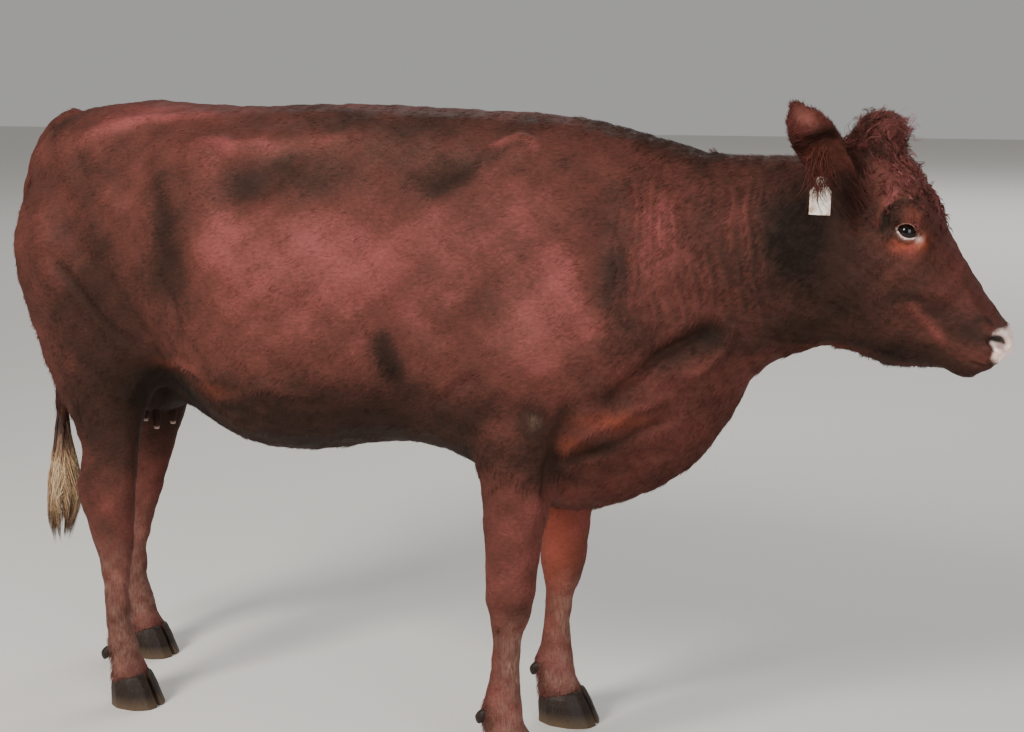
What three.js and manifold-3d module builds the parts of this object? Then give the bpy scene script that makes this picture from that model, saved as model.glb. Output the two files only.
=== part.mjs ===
// A polled beef cow standing still at life size.
// Millimetres, +Z up, head towards +X, right side towards -Y, all hooves flat on z = 0.
// Places along the animal are measured from the plane through the front hooves.
import * as THREE from 'three';
import { mergeVertices } from 'three/addons/utils/BufferGeometryUtils.js';
import Module from 'manifold-3d';

const wasm = await Module();
wasm.setup();

// ---- Driving dimensions ----
const SEAM = 0.3;                    // gap kept between neighbouring nodes
const REST_LIFT = SEAM * 1.6;        // a piece laid on a slanting face is lifted this far off it
const ORIGIN_AHEAD = 193;            // the box centre lies this far behind the front hooves
const BODY_POINTS = 24;              // points round each slice of the body
const HEAD_POINTS = 20;
const LEG_POINTS = 10;
const RUMP_END = -1206;
const NECK_END = 650;                // buried end of the neck, inside the head
const SIDES = { right: -1, left: 1 };
const FAR = 4000;                    // beyond the animal on any side
const KNEE_CUT = 330;
const HOCK_CUT = 385;
const FETLOCK_CUT = 168;
const FORELEG_MIDDLE = 154;          // sideways middle of a fore hoof, where it is cloven
const HINDLEG_MIDDLE = 149;
const LEG_BULGE = 0.9;               // under 1, a leg's slice is squarer than an ellipse
const CORONET = { front: 74, rear: 48 };   // hoof wall height at the toe and at the heel
const CLEFT = { rear: 2.5, front: 9 };     // half gap between the two claws of a hoof
const EYE = { x: 752, y: 93, z: 1121, radius: 20 };
const NOSTRIL = { x: 922, y: 38, z: 930, radii: [15, 11, 9] };
const FORE_STRIDE = { right: 0, left: -14 };
const HIND_STRIDE = { right: 0, left: -172 };      // the left hind leg stands further back
const STRIDE_HEIGHTS = [230, 960];                 // full stride below the first, none above the second

// Lines along which the animal is parted, as places along it and heights.
const SHOULDER_LINE = [[150, 1500], [322, 400]];
const THROAT_LINE = [[612, 1500], [552, 700]];
const MOUTH_LINE = [[960, 846], [893, 868], [845, 889], [806, 905], [700, 924], [480, 946]];
const FORELEG_LINE = [[-124, 730], [152, 636]];
const HIND_LINE = [[-1320, 1032], [-802, 742]];
const CHEST_HALF = 72;               // the forelegs begin this far from the mid plane
const GROIN_HALF = 55;               // and the thighs this far

// ---- Outlines of the body in its own length ----
const BODY = {
  top: through([[-1206, 1215], [-1180, 1284], [-1140, 1315], [-1080, 1333], [-1000, 1339], [-925, 1349],
    [-840, 1342], [-655, 1336], [-500, 1342], [-360, 1342], [-180, 1335], [0, 1328], [70, 1322], [130, 1313],
    [210, 1294], [293, 1271], [354, 1255], [430, 1250], [540, 1252], [600, 1262], [650, 1255]]),
  bottom: through([[-1206, 1000], [-1180, 900], [-1120, 840], [-1040, 782], [-960, 718], [-880, 670],
    [-820, 650], [-760, 625], [-700, 611], [-620, 602], [-540, 600], [-446, 608], [-372, 625], [-300, 637],
    [-220, 637], [-130, 612], [-60, 565], [0, 528], [60, 518], [113, 520], [178, 541], [263, 581],
    [330, 628], [386, 694], [434, 795], [473, 838], [521, 866], [579, 884], [650, 915]]),
  width: through([[-1206, 82], [-1180, 122], [-1130, 158], [-1060, 192], [-980, 220], [-900, 238], [-820, 254],
    [-740, 280], [-660, 303], [-580, 322], [-490, 333], [-390, 329], [-290, 310], [-190, 284], [-90, 262],
    [0, 250], [90, 243], [170, 229], [235, 208], [290, 186], [345, 165], [400, 146], [470, 128],
    [560, 116], [650, 94]]),
  widest: through([[-1206, 1120], [-1100, 1090], [-950, 1045], [-820, 985], [-700, 915], [-560, 868], [-400, 862],
    [-200, 868], [0, 855], [120, 858], [220, 885], [300, 930], [400, 1000], [520, 1060], [650, 1085]]),
  roof: through([[-1206, 2.2], [-1100, 2.7], [-900, 2.75], [-660, 2.7], [-540, 2.4], [-380, 2.2], [-180, 1.95],
    [0, 1.75], [160, 1.75], [300, 1.8], [420, 1.9], [650, 2.1]]),
  keel: through([[-1206, 1.9], [-950, 1.45], [-820, 1.5], [-740, 1.6], [-650, 1.95], [-560, 2.2], [-380, 2.2],
    [-180, 1.95], [-60, 1.7], [60, 1.65], [200, 1.65], [330, 1.6], [430, 1.7], [560, 1.9], [650, 2]]),
};

// Bones, muscles and hollows that raise or sink the hide: place, reach and lift.
const BODY_FORMS = [
  { name: 'hook bone', at: [-623, 240, 1225], reach: [58, 46, 46], lift: 24 },
  { name: 'pin bone', at: [-1168, 122, 1208], reach: [42, 42, 42], lift: 20 },
  { name: 'hollow of the loin', at: [-495, 262, 1190], reach: [90, 70, 62], lift: -26 },
  { name: 'hollow of the rump', at: [-880, 205, 1245], reach: [120, 60, 60], lift: -22 },
  { name: 'hip joint', at: [-920, 240, 1080], reach: [70, 60, 70], lift: 10 },
  { name: 'tail head hollow', at: [-1120, 70, 1310], reach: [55, 26, 40], lift: -12 },
  { name: 'shoulder blade', at: [20, 210, 1120], reach: [80, 80, 150], lift: 10 },
  { name: 'hollow behind the shoulder', at: [-165, 275, 1000], reach: [55, 90, 190], lift: -14 },
  { name: 'point of the shoulder', at: [240, 190, 905], reach: [75, 70, 85], lift: 18 },
  { name: 'elbow', at: [-55, 232, 735], reach: [60, 60, 60], lift: 12 },
  { name: 'neck muscle', at: [420, 120, 1120], reach: [150, 60, 50], lift: 8 },
  { name: 'neck groove', at: [400, 120, 960], reach: [150, 60, 40], lift: -12 },
];

// ---- The head, as slices from the poll to the lips ----
// Each slice runs from a point of the forehead line to a point of the jaw line, and has five half widths
// down its depth: brow edge, temple, cheek, jaw and jaw edge.
const HEAD_SLICES = [
  { top: [590, 1250], bottom: [545, 985], widths: [45, 66, 78, 70, 45] },
  { top: [622, 1290], bottom: [560, 925], widths: [60, 82, 92, 84, 54] },
  { top: [662, 1308], bottom: [582, 892], widths: [64, 88, 100, 90, 58] },
  { top: [706, 1284], bottom: [620, 884], widths: [66, 92, 106, 90, 58] },
  { top: [748, 1229], bottom: [664, 872], widths: [74, 102, 105, 86, 55] },
  { top: [782, 1178], bottom: [706, 860], widths: [78, 108, 99, 80, 50] },
  { top: [804, 1126], bottom: [744, 858], widths: [62, 90, 91, 70, 46] },
  { top: [832, 1081], bottom: [776, 863], widths: [49, 70, 80, 62, 42] },
  { top: [872, 1018], bottom: [808, 862], widths: [41, 58, 67, 56, 39] },
  { top: [912, 964], bottom: [833, 851], widths: [43, 61, 66, 56, 38] },
  { top: [929, 940], bottom: [853, 845], widths: [47, 64, 67, 56, 38] },
  { top: [933, 914], bottom: [878, 860], widths: [46, 59, 61, 52, 38] },
  { top: [925, 893], bottom: [897, 871], widths: [36, 44, 46, 41, 32] },
];
const SLICE_DEPTHS = [0.05, 0.2, 0.45, 0.7, 0.9];
const HEAD_RINGS = 20;

const HEAD_FORMS = [
  { name: 'brow', at: [772, 98, 1150], reach: [30, 30, 26], lift: 11 },
  { name: 'cheek crest', at: [800, 84, 1010], reach: [55, 40, 22], lift: 6 },
  { name: 'cheek muscle', at: [690, 100, 985], reach: [60, 50, 70], lift: 7 },
  { name: 'nostril wing', at: [905, 60, 930], reach: [26, 26, 24], lift: 6 },
  { name: 'temple hollow', at: [700, 92, 1195], reach: [32, 40, 34], lift: -8 },
  { name: 'eye hollow', at: [754, 108, 1118], reach: [24, 30, 19], lift: -8 },
  { name: 'under the crest', at: [800, 70, 950], reach: [50, 40, 22], lift: -6 },
];

// ---- Legs, as level slices: height, rear edge, front edge, outer side, inner side ----
// The sides are measured from the mid plane of the animal, for a leg that stands at its stance.
const FORE_SLICES = [
  [830, -120, 190, 225, 60], [760, -112, 170, 229, 64], [700, -98, 140, 226, 70], [650, -80, 113, 218, 78],
  [600, -65, 97, 207, 88], [520, -58, 80, 200, 100], [450, -53, 67, 195, 108], [405, -51, 58, 195, 112],
  [365, -48, 52, 197, 112], [328, -42, 42, 190, 118], [285, -36, 29, 178, 128], [225, -40, 25, 177, 129],
  [172, -48, 27, 181, 126], [132, -57, 32, 188, 120], [100, -55, 38, 186, 122], [70, -50, 54, 196, 112],
  [40, -48, 72, 203, 105], [0, -46, 90, 208, 100],
];
const HIND_SLICES = [
  [1190, -1160, -960, 165, 40], [1120, -1206, -862, 204, 20], [1045, -1222, -786, 230, 16],
  [960, -1214, -730, 241, 16], [880, -1188, -716, 235, 22],
  [810, -1164, -748, 222, 32], [764, -1146, -802, 213, 40], [724, -1122, -850, 208, 52], [686, -1100, -877, 202, 66],
  [640, -1070, -893, 196, 82], [590, -1051, -898, 192, 94], [540, -1051, -902, 191, 102],
  [503, -1059, -905, 192, 108], [466, -1055, -908, 192, 111], [425, -1040, -912, 190, 113],
  [375, -1025, -916, 183, 119], [325, -1012, -924, 175, 123], [260, -1001, -936, 171, 127],
  [190, -997, -937, 174, 124], [138, -994, -920, 181, 117], [100, -985, -908, 179, 118],
  [70, -982, -894, 190, 108], [40, -980, -878, 197, 101], [0, -980, -860, 201, 97],
];

// ---- Tail, udder, ears and tag ----
const TAIL_LINE = [
  [-1130, 0, 1302, 30], [-1172, 0, 1294, 29], [-1212, 0, 1266, 27], [-1250, 0, 1216, 25], [-1278, 0, 1150, 23],
  [-1291, 0, 1066, 22], [-1289, 0, 975, 20], [-1264, 0, 880, 19], [-1236, 0, 790, 18], [-1223, 0, 700, 17],
  [-1220, 0, 620, 17], [-1222, 0, 552, 18],
];
const TAIL_RINGS = 15;
const TAIL_POINTS = 8;
const TAIL_CUTS = [1240, 900, 553];  // heights where the root, the upper and the lower length end
const SWITCH_LINE = [
  [-1222, 0, 552.7, 19], [-1222, 0, 520, 28], [-1220, 0, 470, 36], [-1218, 0, 420, 37], [-1218, 0, 370, 31],
  [-1220, 0, 325, 20], [-1226, 0, 290, 6],
];
const UDDER = { x: -955, z: 705, radii: [112, 84, 66] };
const TEATS = { fore: -930, rear: -1006, y: 31, top: 664, length: 60, radius: 10 };
const EARS = {
  right: { base: [642, 76, 1180], middle: [614, 134, 1262], tip: [566, 178, 1354], across: [0.86, 0.05, 0.36],
    opening: [0.3, 0.95, -0.1] },
  left: { base: [650, 76, 1190], middle: [640, 148, 1236], tip: [606, 226, 1258], across: [0.8, 0.1, 0.6],
    opening: [0.55, 0.5, -0.65] },
};
const EAR = { halfWidth: 49, thickness: 9, cup: 24, rings: 8, steps: 6 };
const EAR_OUTLINE = through([[0, 0.42], [0.2, 0.68], [0.45, 0.95], [0.68, 0.98], [0.9, 0.62], [1, 0.16]]);
const TAG = {
  at: [611, 176, 1214], width: 37, height: 70, neckWidth: 15, thickness: 2.4, yaw: 0.2, tilt: 0.12, push: -4,
};
const STUD = { radius: 4, length: 34, button: 9, buttonThickness: 3 };
const TOPKNOT = { at: [680, 0, 1290], radii: [54, 66, 44] };
const DEWCLAW = { radii: [13, 9, 15], height: 118, apart: 20 };

// ---- Materials ----
const COLOURS = {
  coat: 0x5a1f1a, ear_skin: 0x6e2a22, switch_hair: 0xb99a78, hoof: 0x2e2622, eye: 0x140d0b,
  teat: 0xc08a7c, tag: 0xe6e1d6,
};
const ROUGHNESS = { coat: 0.7, ear_skin: 0.6, switch_hair: 0.85, hoof: 0.55, eye: 0.1, teat: 0.5, tag: 0.45 };

// ---- Shared shaping tools ----

/** A smooth curve through pairs of [place, size]. */
function through(pairs) {
  const last = pairs.length - 1;
  const slopes = pairs.map((pair, i) => {
    const before = pairs[Math.max(i - 1, 0)];
    const after = pairs[Math.min(i + 1, last)];
    return (after[1] - before[1]) / (after[0] - before[0]);
  });
  return (place) => {
    const x = THREE.MathUtils.clamp(place, pairs[0][0], pairs[last][0]);
    let i = 0;
    while (i < last - 1 && x > pairs[i + 1][0]) i += 1;
    const span = pairs[i + 1][0] - pairs[i][0];
    const t = (x - pairs[i][0]) / span;
    const rise = (1 + 2 * t) * (1 - t) ** 2 * pairs[i][1] + t * t * (3 - 2 * t) * pairs[i + 1][1];
    const bend = t * (1 - t) ** 2 * slopes[i] - t * t * (1 - t) * slopes[i + 1];
    return rise + bend * span;
  };
}

/** Raises a signed number to a power and keeps its sign. */
function signedPower(value, exponent) {
  return Math.sign(value) * Math.abs(value) ** exponent;
}

/** Numbers spread from first to last. */
function spread(first, last, count) {
  return Array.from({ length: count }, (_, i) => first + ((last - first) * i) / (count - 1));
}

/** Moves a point outwards by every form near it, on both sides of the animal. */
function shaped(point, centre, forms) {
  let lift = 0;
  for (const form of forms) {
    const dx = (point.x - form.at[0]) / form.reach[0];
    const dy = (Math.abs(point.y) - form.at[1]) / form.reach[1];
    const dz = (point.z - form.at[2]) / form.reach[2];
    lift += form.lift * Math.exp(-(dx * dx + dy * dy + dz * dz));
  }
  return point.clone().add(point.clone().sub(centre).normalize().multiplyScalar(lift));
}

/** A closed geometry over rings of equal count, with a fan over each end. */
function loft(rings) {
  const count = rings[0].length;
  const centreOf = (ring) => ring.reduce((sum, p) => sum.add(p), new THREE.Vector3()).divideScalar(count);
  const points = [...rings.flat(), centreOf(rings[0]), centreOf(rings[rings.length - 1])];
  const index = [];
  rings.slice(1).forEach((_, r) => {
    for (let i = 0; i < count; i += 1) {
      const a = r * count + i;
      const b = r * count + ((i + 1) % count);
      index.push(a, b, b + count, a, b + count, a + count);
    }
  });
  const firstCentre = rings.length * count;
  const lastRing = (rings.length - 1) * count;
  for (let i = 0; i < count; i += 1) {
    const next = (i + 1) % count;
    index.push(firstCentre, next, i);
    index.push(firstCentre + 1, lastRing + i, lastRing + next);
  }
  const geometry = new THREE.BufferGeometry();
  geometry.setAttribute('position', new THREE.Float32BufferAttribute(points.flatMap((p) => p.toArray()), 3));
  geometry.setIndex(index);
  return facingOut(geometry);
}

/** Turns every face over when the enclosed volume comes out negative. */
function facingOut(geometry) {
  const at = geometry.getAttribute('position');
  const index = geometry.getIndex().array;
  const [a, b, c] = [new THREE.Vector3(), new THREE.Vector3(), new THREE.Vector3()];
  let volume = 0;
  for (let i = 0; i < index.length; i += 3) {
    a.fromBufferAttribute(at, index[i]);
    b.fromBufferAttribute(at, index[i + 1]);
    c.fromBufferAttribute(at, index[i + 2]);
    volume += a.dot(b.cross(c));
  }
  if (volume < 0) {
    for (let i = 0; i < index.length; i += 3) [index[i + 1], index[i + 2]] = [index[i + 2], index[i + 1]];
  }
  return geometry;
}

/** A three.js geometry as a solid that can be joined and cut. */
function solid(geometry) {
  const bare = new THREE.BufferGeometry();
  bare.setAttribute('position', geometry.getAttribute('position'));
  bare.setIndex(geometry.getIndex());
  const merged = mergeVertices(bare, 1e-3);
  const vertProperties = new Float32Array(merged.getAttribute('position').array);
  const triVerts = new Uint32Array(merged.getIndex().array);
  return new wasm.Manifold(new wasm.Mesh({ numProp: 3, vertProperties, triVerts }));
}

/** A solid's surface as a three.js geometry, shaded by its flat faces. */
function surface(body) {
  const { vertProperties, triVerts } = body.getMesh();
  const geometry = new THREE.BufferGeometry();
  geometry.setAttribute('position', new THREE.Float32BufferAttribute(vertProperties, 3));
  geometry.setIndex(Array.from(triVerts));
  geometry.computeVertexNormals();
  return geometry;
}

/** The largest connected piece of a solid. */
function largest(body) {
  const pieces = body.decompose();
  return pieces.reduce((best, piece) => (piece.volume() > best.volume() ? piece : best));
}

/** A prism: an outline in the plane of length and height, carried across from y0 to y1. */
function prism(outline, y0, y1) {
  const shape = new THREE.Shape(outline.map(([x, z]) => new THREE.Vector2(x, z)));
  const geometry = new THREE.ExtrudeGeometry(shape, { depth: y1 - y0, bevelEnabled: false });
  geometry.rotateX(Math.PI / 2);
  geometry.translate(0, y1, 0);
  return solid(facingOut(mergeVertices(positionOnly(geometry), 1e-3)));
}

/** The same geometry with its positions alone. */
function positionOnly(geometry) {
  const bare = geometry.clone();
  bare.deleteAttribute('normal');
  bare.deleteAttribute('uv');
  return bare;
}

/** An ellipsoid about a centre. */
function ellipsoid(centre, radii, around, along) {
  const geometry = positionOnly(new THREE.SphereGeometry(1, around, along));
  geometry.scale(...radii);
  geometry.translate(...centre);
  return solid(facingOut(mergeVertices(geometry, 1e-4)));
}

// ---- Body ----

/** One upright slice of the body at a place along it. */
function bodyRing(x) {
  const [top, bottom, width, widest] = [BODY.top(x), BODY.bottom(x), BODY.width(x), BODY.widest(x)];
  const centre = new THREE.Vector3(x, 0, widest);
  return Array.from({ length: BODY_POINTS }, (_, i) => {
    const turn = (2 * Math.PI * i) / BODY_POINTS;
    const above = Math.sin(turn) >= 0;
    const power = 2 / (above ? BODY.roof(x) : BODY.keel(x));
    const height = above ? top - widest : widest - bottom;
    const y = width * signedPower(Math.cos(turn), power);
    const z = widest + height * signedPower(Math.sin(turn), power);
    return shaped(new THREE.Vector3(x, y, z), centre, BODY_FORMS);
  });
}

function torso() {
  const places = [
    ...spread(RUMP_END, -1140, 3), ...spread(-1095, -710, 8), ...spread(-666, -570, 3),
    ...spread(-500, -80, 6), ...spread(-15, 300, 7), ...spread(348, NECK_END, 7),
  ];
  return solid(loft(places.map(bodyRing)));
}

// ---- Head ----

/** One value of the head slices as a smooth curve over their count. */
function headCurve(pick) {
  return through(HEAD_SLICES.map((slice, i) => [i, pick(slice)]));
}

function headRing(step, curves) {
  const top = new THREE.Vector3(curves.topX(step), 0, curves.topZ(step));
  const bottom = new THREE.Vector3(curves.bottomX(step), 0, curves.bottomZ(step));
  const half = through([[0, 0], ...SLICE_DEPTHS.map((depth, i) => [depth, curves.widths[i](step)]), [1, 0]]);
  const centre = top.clone().lerp(bottom, 0.4);
  return Array.from({ length: HEAD_POINTS }, (_, i) => {
    const turn = (2 * Math.PI * i) / HEAD_POINTS;
    const depth = (1 - Math.cos(turn)) / 2;
    const point = top.clone().lerp(bottom, depth);
    point.y = half(depth) * Math.sign(Math.sin(turn) || 0);
    return shaped(point, centre, HEAD_FORMS);
  });
}

function skull() {
  const curves = {
    topX: headCurve((slice) => slice.top[0]),
    topZ: headCurve((slice) => slice.top[1]),
    bottomX: headCurve((slice) => slice.bottom[0]),
    bottomZ: headCurve((slice) => slice.bottom[1]),
    widths: SLICE_DEPTHS.map((_, i) => headCurve((slice) => slice.widths[i])),
  };
  const steps = spread(0, HEAD_SLICES.length - 1, HEAD_RINGS);
  return solid(loft(steps.map((step) => headRing(step, curves))));
}

// ---- Legs ----

/** A leg from level slices; side is -1 for the right and 1 for the left. */
function leg(slices, side, stride) {
  const rings = slices.map(([z, rear, front, outer, inner]) => {
    const shift = stride * (1 - THREE.MathUtils.smoothstep(z, ...STRIDE_HEIGHTS));
    const centre = new THREE.Vector3((rear + front) / 2 + shift, (side * (outer + inner)) / 2, z);
    return Array.from({ length: LEG_POINTS }, (_, i) => {
      const turn = (2 * Math.PI * i) / LEG_POINTS;
      const x = ((front - rear) / 2) * signedPower(Math.cos(turn), LEG_BULGE);
      const y = ((outer - inner) / 2) * signedPower(Math.sin(turn), LEG_BULGE);
      return new THREE.Vector3(centre.x + x, centre.y + y, z);
    });
  });
  return solid(loft(rings));
}

// ---- Cutting ----

/** The space under a line seen from the side, between two upright planes. */
function under(line, y0 = -FAR, y1 = FAR) {
  return prism([...line, [line[line.length - 1][0], -FAR], [line[0][0], -FAR]], y0, y1);
}

/** The space under a level plane. */
function underLevel(z) {
  return under([[-FAR, z], [FAR, z]]);
}

/** The space ahead of a line seen from the side, given from its upper end to its lower end. */
function ahead(line) {
  return prism([...line, [FAR, line[line.length - 1][1]], [FAR, line[0][1]]], -FAR, FAR);
}

/** What stays of a piece that lies on another: the rest, lifted off by the seam. */
function resting(piece, base, away) {
  const lift = new THREE.Vector3(...away).normalize().multiplyScalar(REST_LIFT);
  return largest(piece.subtract(base)).translate(lift.toArray());
}

/** A solid parted by a region, with the seam taken from the part inside it. */
function parted(body, area, away) {
  const lift = away.map((step) => step * SEAM);
  return { inside: body.intersect(area.translate(lift)), outside: body.subtract(area) };
}

/** The side of the chest below the elbow that goes with a foreleg, drawn in by a margin. */
function forelegArea(side, margin) {
  const [[rear, high], [front, low]] = FORELEG_LINE;
  const line = [[rear + margin, high - margin], [front - margin, low - margin]];
  const near = CHEST_HALF + margin;
  return side < 0 ? under(line, -FAR, -near) : under(line, near, FAR);
}

// ---- Feet ----

/** Splits a foot into its pastern and two claws. */
function footPieces(foot, rear, front, middle) {
  const slope = (CORONET.front - CORONET.rear) / (front - rear);
  const line = [[rear - 100, CORONET.rear - 100 * slope], [front + 100, CORONET.front + 100 * slope]];
  const { inside: hoof, outside: pastern } = parted(foot, under(line), [0, 0, -1]);
  const cleft = new THREE.Shape([
    new THREE.Vector2(rear - 60, -CLEFT.rear), new THREE.Vector2(rear + 40, -CLEFT.rear),
    new THREE.Vector2(front + 60, -CLEFT.front), new THREE.Vector2(front + 60, CLEFT.front),
    new THREE.Vector2(rear + 40, CLEFT.rear), new THREE.Vector2(rear - 60, CLEFT.rear),
  ]);
  const wedge = positionOnly(new THREE.ExtrudeGeometry(cleft, { depth: 300, bevelEnabled: false }));
  wedge.translate(0, middle, -100);
  const claws = hoof.subtract(solid(facingOut(mergeVertices(wedge, 1e-3)))).decompose();
  claws.sort((a, b) => Math.abs(centreY(b)) - Math.abs(centreY(a)));
  return { pastern, claws };
}

/** The sideways middle of a solid's box. */
function centreY(body) {
  const box = body.boundingBox();
  return (box.min[1] + box.max[1]) / 2;
}

/** The nodes of one leg below its upper cut. */
function legNodes(name, upper, side, middle, shift, cut, slices) {
  const top = parted(upper, underLevel(cut), [0, 0, -1]);
  const low = parted(top.inside, underLevel(FETLOCK_CUT), [0, 0, -1]);
  const [, rear, front] = slices[slices.length - 1];
  const { pastern, claws } = footPieces(low.inside, rear + shift, front + shift, middle);
  const heel = slices.find(([z]) => z < 140)[1] + shift;
  const dewclaws = [1, -1].map((apart) => {
    const y = middle + apart * side * DEWCLAW.apart;
    const bud = ellipsoid([heel + 4, y, DEWCLAW.height], DEWCLAW.radii, 6, 4);
    return resting(bud, pastern, [-1, 0, 0]);
  });
  return [
    [`${name}_upper`, top.outside, 'coat'], [`${name}_cannon`, low.outside, 'coat'],
    [`${name}_foot`, pastern, 'coat'],
    [`${name}_claw_outer`, claws[0], 'hoof'], [`${name}_claw_inner`, claws[1], 'hoof'],
    [`${name}_dewclaw_outer`, dewclaws[0], 'hoof'], [`${name}_dewclaw_inner`, dewclaws[1], 'hoof'],
  ];
}

// ---- Tail ----

/** A round tube along a line of [x, y, z, radius] in the mid plane. */
function tube(line, rings, points) {
  const curve = [0, 1, 2, 3].map((k) => through(line.map((station, i) => [i, station[k]])));
  const at = (t) => new THREE.Vector3(curve[0](t), curve[1](t), curve[2](t));
  const last = line.length - 1;
  return solid(loft(spread(0, last, rings).map((t) => {
    const along = at(Math.min(t + 0.05, last)).sub(at(Math.max(t - 0.05, 0))).normalize();
    const across = new THREE.Vector3(0, 1, 0);
    const outward = new THREE.Vector3().crossVectors(along, across).normalize();
    return Array.from({ length: points }, (_, i) => {
      const turn = (2 * Math.PI * i) / points;
      return at(t).addScaledVector(across, curve[3](t) * Math.cos(turn))
        .addScaledVector(outward, curve[3](t) * Math.sin(turn));
    });
  })));
}

function tailNodes(trunk) {
  const rope = largest(tube(TAIL_LINE, TAIL_RINGS, TAIL_POINTS).subtract(trunk)).translate([-0.4, 0, 0.4]);
  const below = TAIL_CUTS.map(underLevel);
  const first = parted(rope, below[0], [0, 0, -1]);
  const second = parted(first.inside, below[1], [0, 0, -1]);
  const third = parted(second.inside, below[2], [0, 0, -1]);
  return [
    ['tail_root', first.outside, 'coat'], ['tail_upper', second.outside, 'coat'],
    ['tail_lower', third.outside, 'coat'], ['tail_switch', tube(SWITCH_LINE, 9, 10), 'switch_hair'],
  ];
}

// ---- Ears, eyes and tag ----

function ear(pose, side) {
  const path = new THREE.QuadraticBezierCurve3(
    new THREE.Vector3(...pose.base), new THREE.Vector3(...pose.middle), new THREE.Vector3(...pose.tip));
  const across = new THREE.Vector3(...pose.across).normalize();
  const opening = new THREE.Vector3(...pose.opening).normalize();
  const rings = spread(0, 1, EAR.rings).map((t) => {
    const half = EAR.halfWidth * EAR_OUTLINE(t);
    const middle = path.getPoint(t);
    const rim = (v, face) => {
      const thick = EAR.thickness * (0.25 + 0.75 * Math.sqrt(1 - v * v)) * (t > 0.9 ? 0.6 : 1);
      const cup = EAR.cup * EAR_OUTLINE(t) * (v * v - 0.4);
      const point = middle.clone().addScaledVector(across, v * half)
        .addScaledVector(opening, cup + (face * thick) / 2);
      return new THREE.Vector3(point.x, point.y * side, point.z);
    };
    const sweep = spread(-1, 1, EAR.steps);
    return [...sweep.map((v) => rim(v, -1)), ...sweep.reverse().map((v) => rim(v, 1))];
  });
  return solid(loft(rings));
}

/** The ear tag's plate and the stud that holds it, facing out from the right ear. */
function tagPieces() {
  const { width, height, neckWidth, thickness } = TAG;
  const outline = new THREE.Shape([
    [-neckWidth / 2, 8], [neckWidth / 2, 8], [neckWidth / 2, -4], [width / 2, -20], [width / 2, 8 - height],
    [-width / 2, 8 - height], [-width / 2, -20], [-neckWidth / 2, -4],
  ].map(([x, y]) => new THREE.Vector2(x, y)));
  const plate = positionOnly(new THREE.ExtrudeGeometry(outline, { depth: thickness, bevelEnabled: false }));
  plate.rotateX(Math.PI / 2);
  const shaft = new THREE.LatheGeometry([
    [0, -STUD.length / 2], [STUD.button, -STUD.length / 2],
    [STUD.button, -STUD.length / 2 + STUD.buttonThickness], [STUD.radius, -STUD.length / 2 + STUD.buttonThickness],
    [STUD.radius, STUD.length / 2 - STUD.buttonThickness], [STUD.button, STUD.length / 2 - STUD.buttonThickness],
    [STUD.button, STUD.length / 2], [0, STUD.length / 2],
  ].map(([r, y]) => new THREE.Vector2(r, y)), 10);
  return { plate, shaft: positionOnly(shaft) };
}

/** Puts a piece modelled about its own origin where the tag hangs. */
function placedAtTag(geometry, push) {
  const place = new THREE.Matrix4().makeRotationFromEuler(new THREE.Euler(TAG.tilt, 0, TAG.yaw));
  place.setPosition(TAG.at[0], -TAG.at[1], TAG.at[2]);
  geometry.translate(0, push, 0);
  geometry.applyMatrix4(place);
  return solid(facingOut(mergeVertices(geometry, 1e-3)));
}

/** Ears, with the right one pierced by the stud that carries the tag. */
function earNodes(head) {
  const { plate, shaft } = tagPieces();
  const stud = placedAtTag(shaft, 0);
  const bore = placedAtTag(positionOnly(new THREE.CylinderGeometry(
    STUD.radius + 1, STUD.radius + 1, STUD.length * 2, 10)), 0);
  const board = placedAtTag(plate, TAG.push).subtract(bore);
  const right = resting(ear(EARS.right, -1), head, [-0.3, -1, 0.4]).subtract(bore);
  const left = resting(ear(EARS.left, 1), head, [-0.3, 1, 0.4]);
  return [
    ['ear_right', largest(right), 'ear_skin'], ['ear_left', left, 'ear_skin'],
    ['ear_tag', board, 'tag'], ['ear_tag_stud', stud, 'tag'],
  ];
}

/** The head with its sockets and nostrils, its lower jaw, eyes, ears and topknot. */
function headNodes(block) {
  let head = block;
  const nodes = [];
  for (const [name, side] of Object.entries(SIDES)) {
    const { x, y, z, radius } = EYE;
    const socket = radius + SEAM;
    head = head.subtract(ellipsoid([x, y * side, z], [socket, socket, socket], 10, 7));
    nodes.push([`eye_${name}`, ellipsoid([x, y * side, z], [radius, radius, radius], 10, 7), 'eye']);
    const { radii } = NOSTRIL;
    head = head.subtract(ellipsoid([NOSTRIL.x, NOSTRIL.y * side, NOSTRIL.z], radii, 10, 6));
  }
  const { inside: jaw, outside: upper } = parted(head, under(MOUTH_LINE), [0, 0, -1]);
  const topknot = resting(ellipsoid(TOPKNOT.at, TOPKNOT.radii, 10, 7), upper, [0.5, 0, 1]);
  return [
    ['head', largest(upper), 'coat'], ['lower_jaw', largest(jaw), 'coat'], ['topknot', topknot, 'coat'],
    ...nodes, ...earNodes(upper),
  ];
}

/** The swollen bag of the udder, made larger all round by a margin. */
function udderBag(margin) {
  const { x, z, radii } = UDDER;
  return ellipsoid([x, 0, z], radii.map((radius) => radius + margin), 12, 8);
}

/** The groin between the thighs with the udder and its four teats. */
function udderNodes(groin) {
  const bag = groin.add(udderBag(0));
  const teats = [];
  for (const [place, along] of [['fore', TEATS.fore], ['rear', TEATS.rear]]) {
    for (const [name, side] of Object.entries(SIDES)) {
      const centre = [along, side * TEATS.y, TEATS.top - TEATS.length / 2];
      const bud = ellipsoid(centre, [TEATS.radius, TEATS.radius, TEATS.length / 2], 6, 5);
      teats.push([`teat_${place}_${name}`, resting(bud, bag, [0, 0, -1]), 'teat']);
    }
  }
  return [['udder', bag, 'coat'], ...teats];
}

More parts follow.
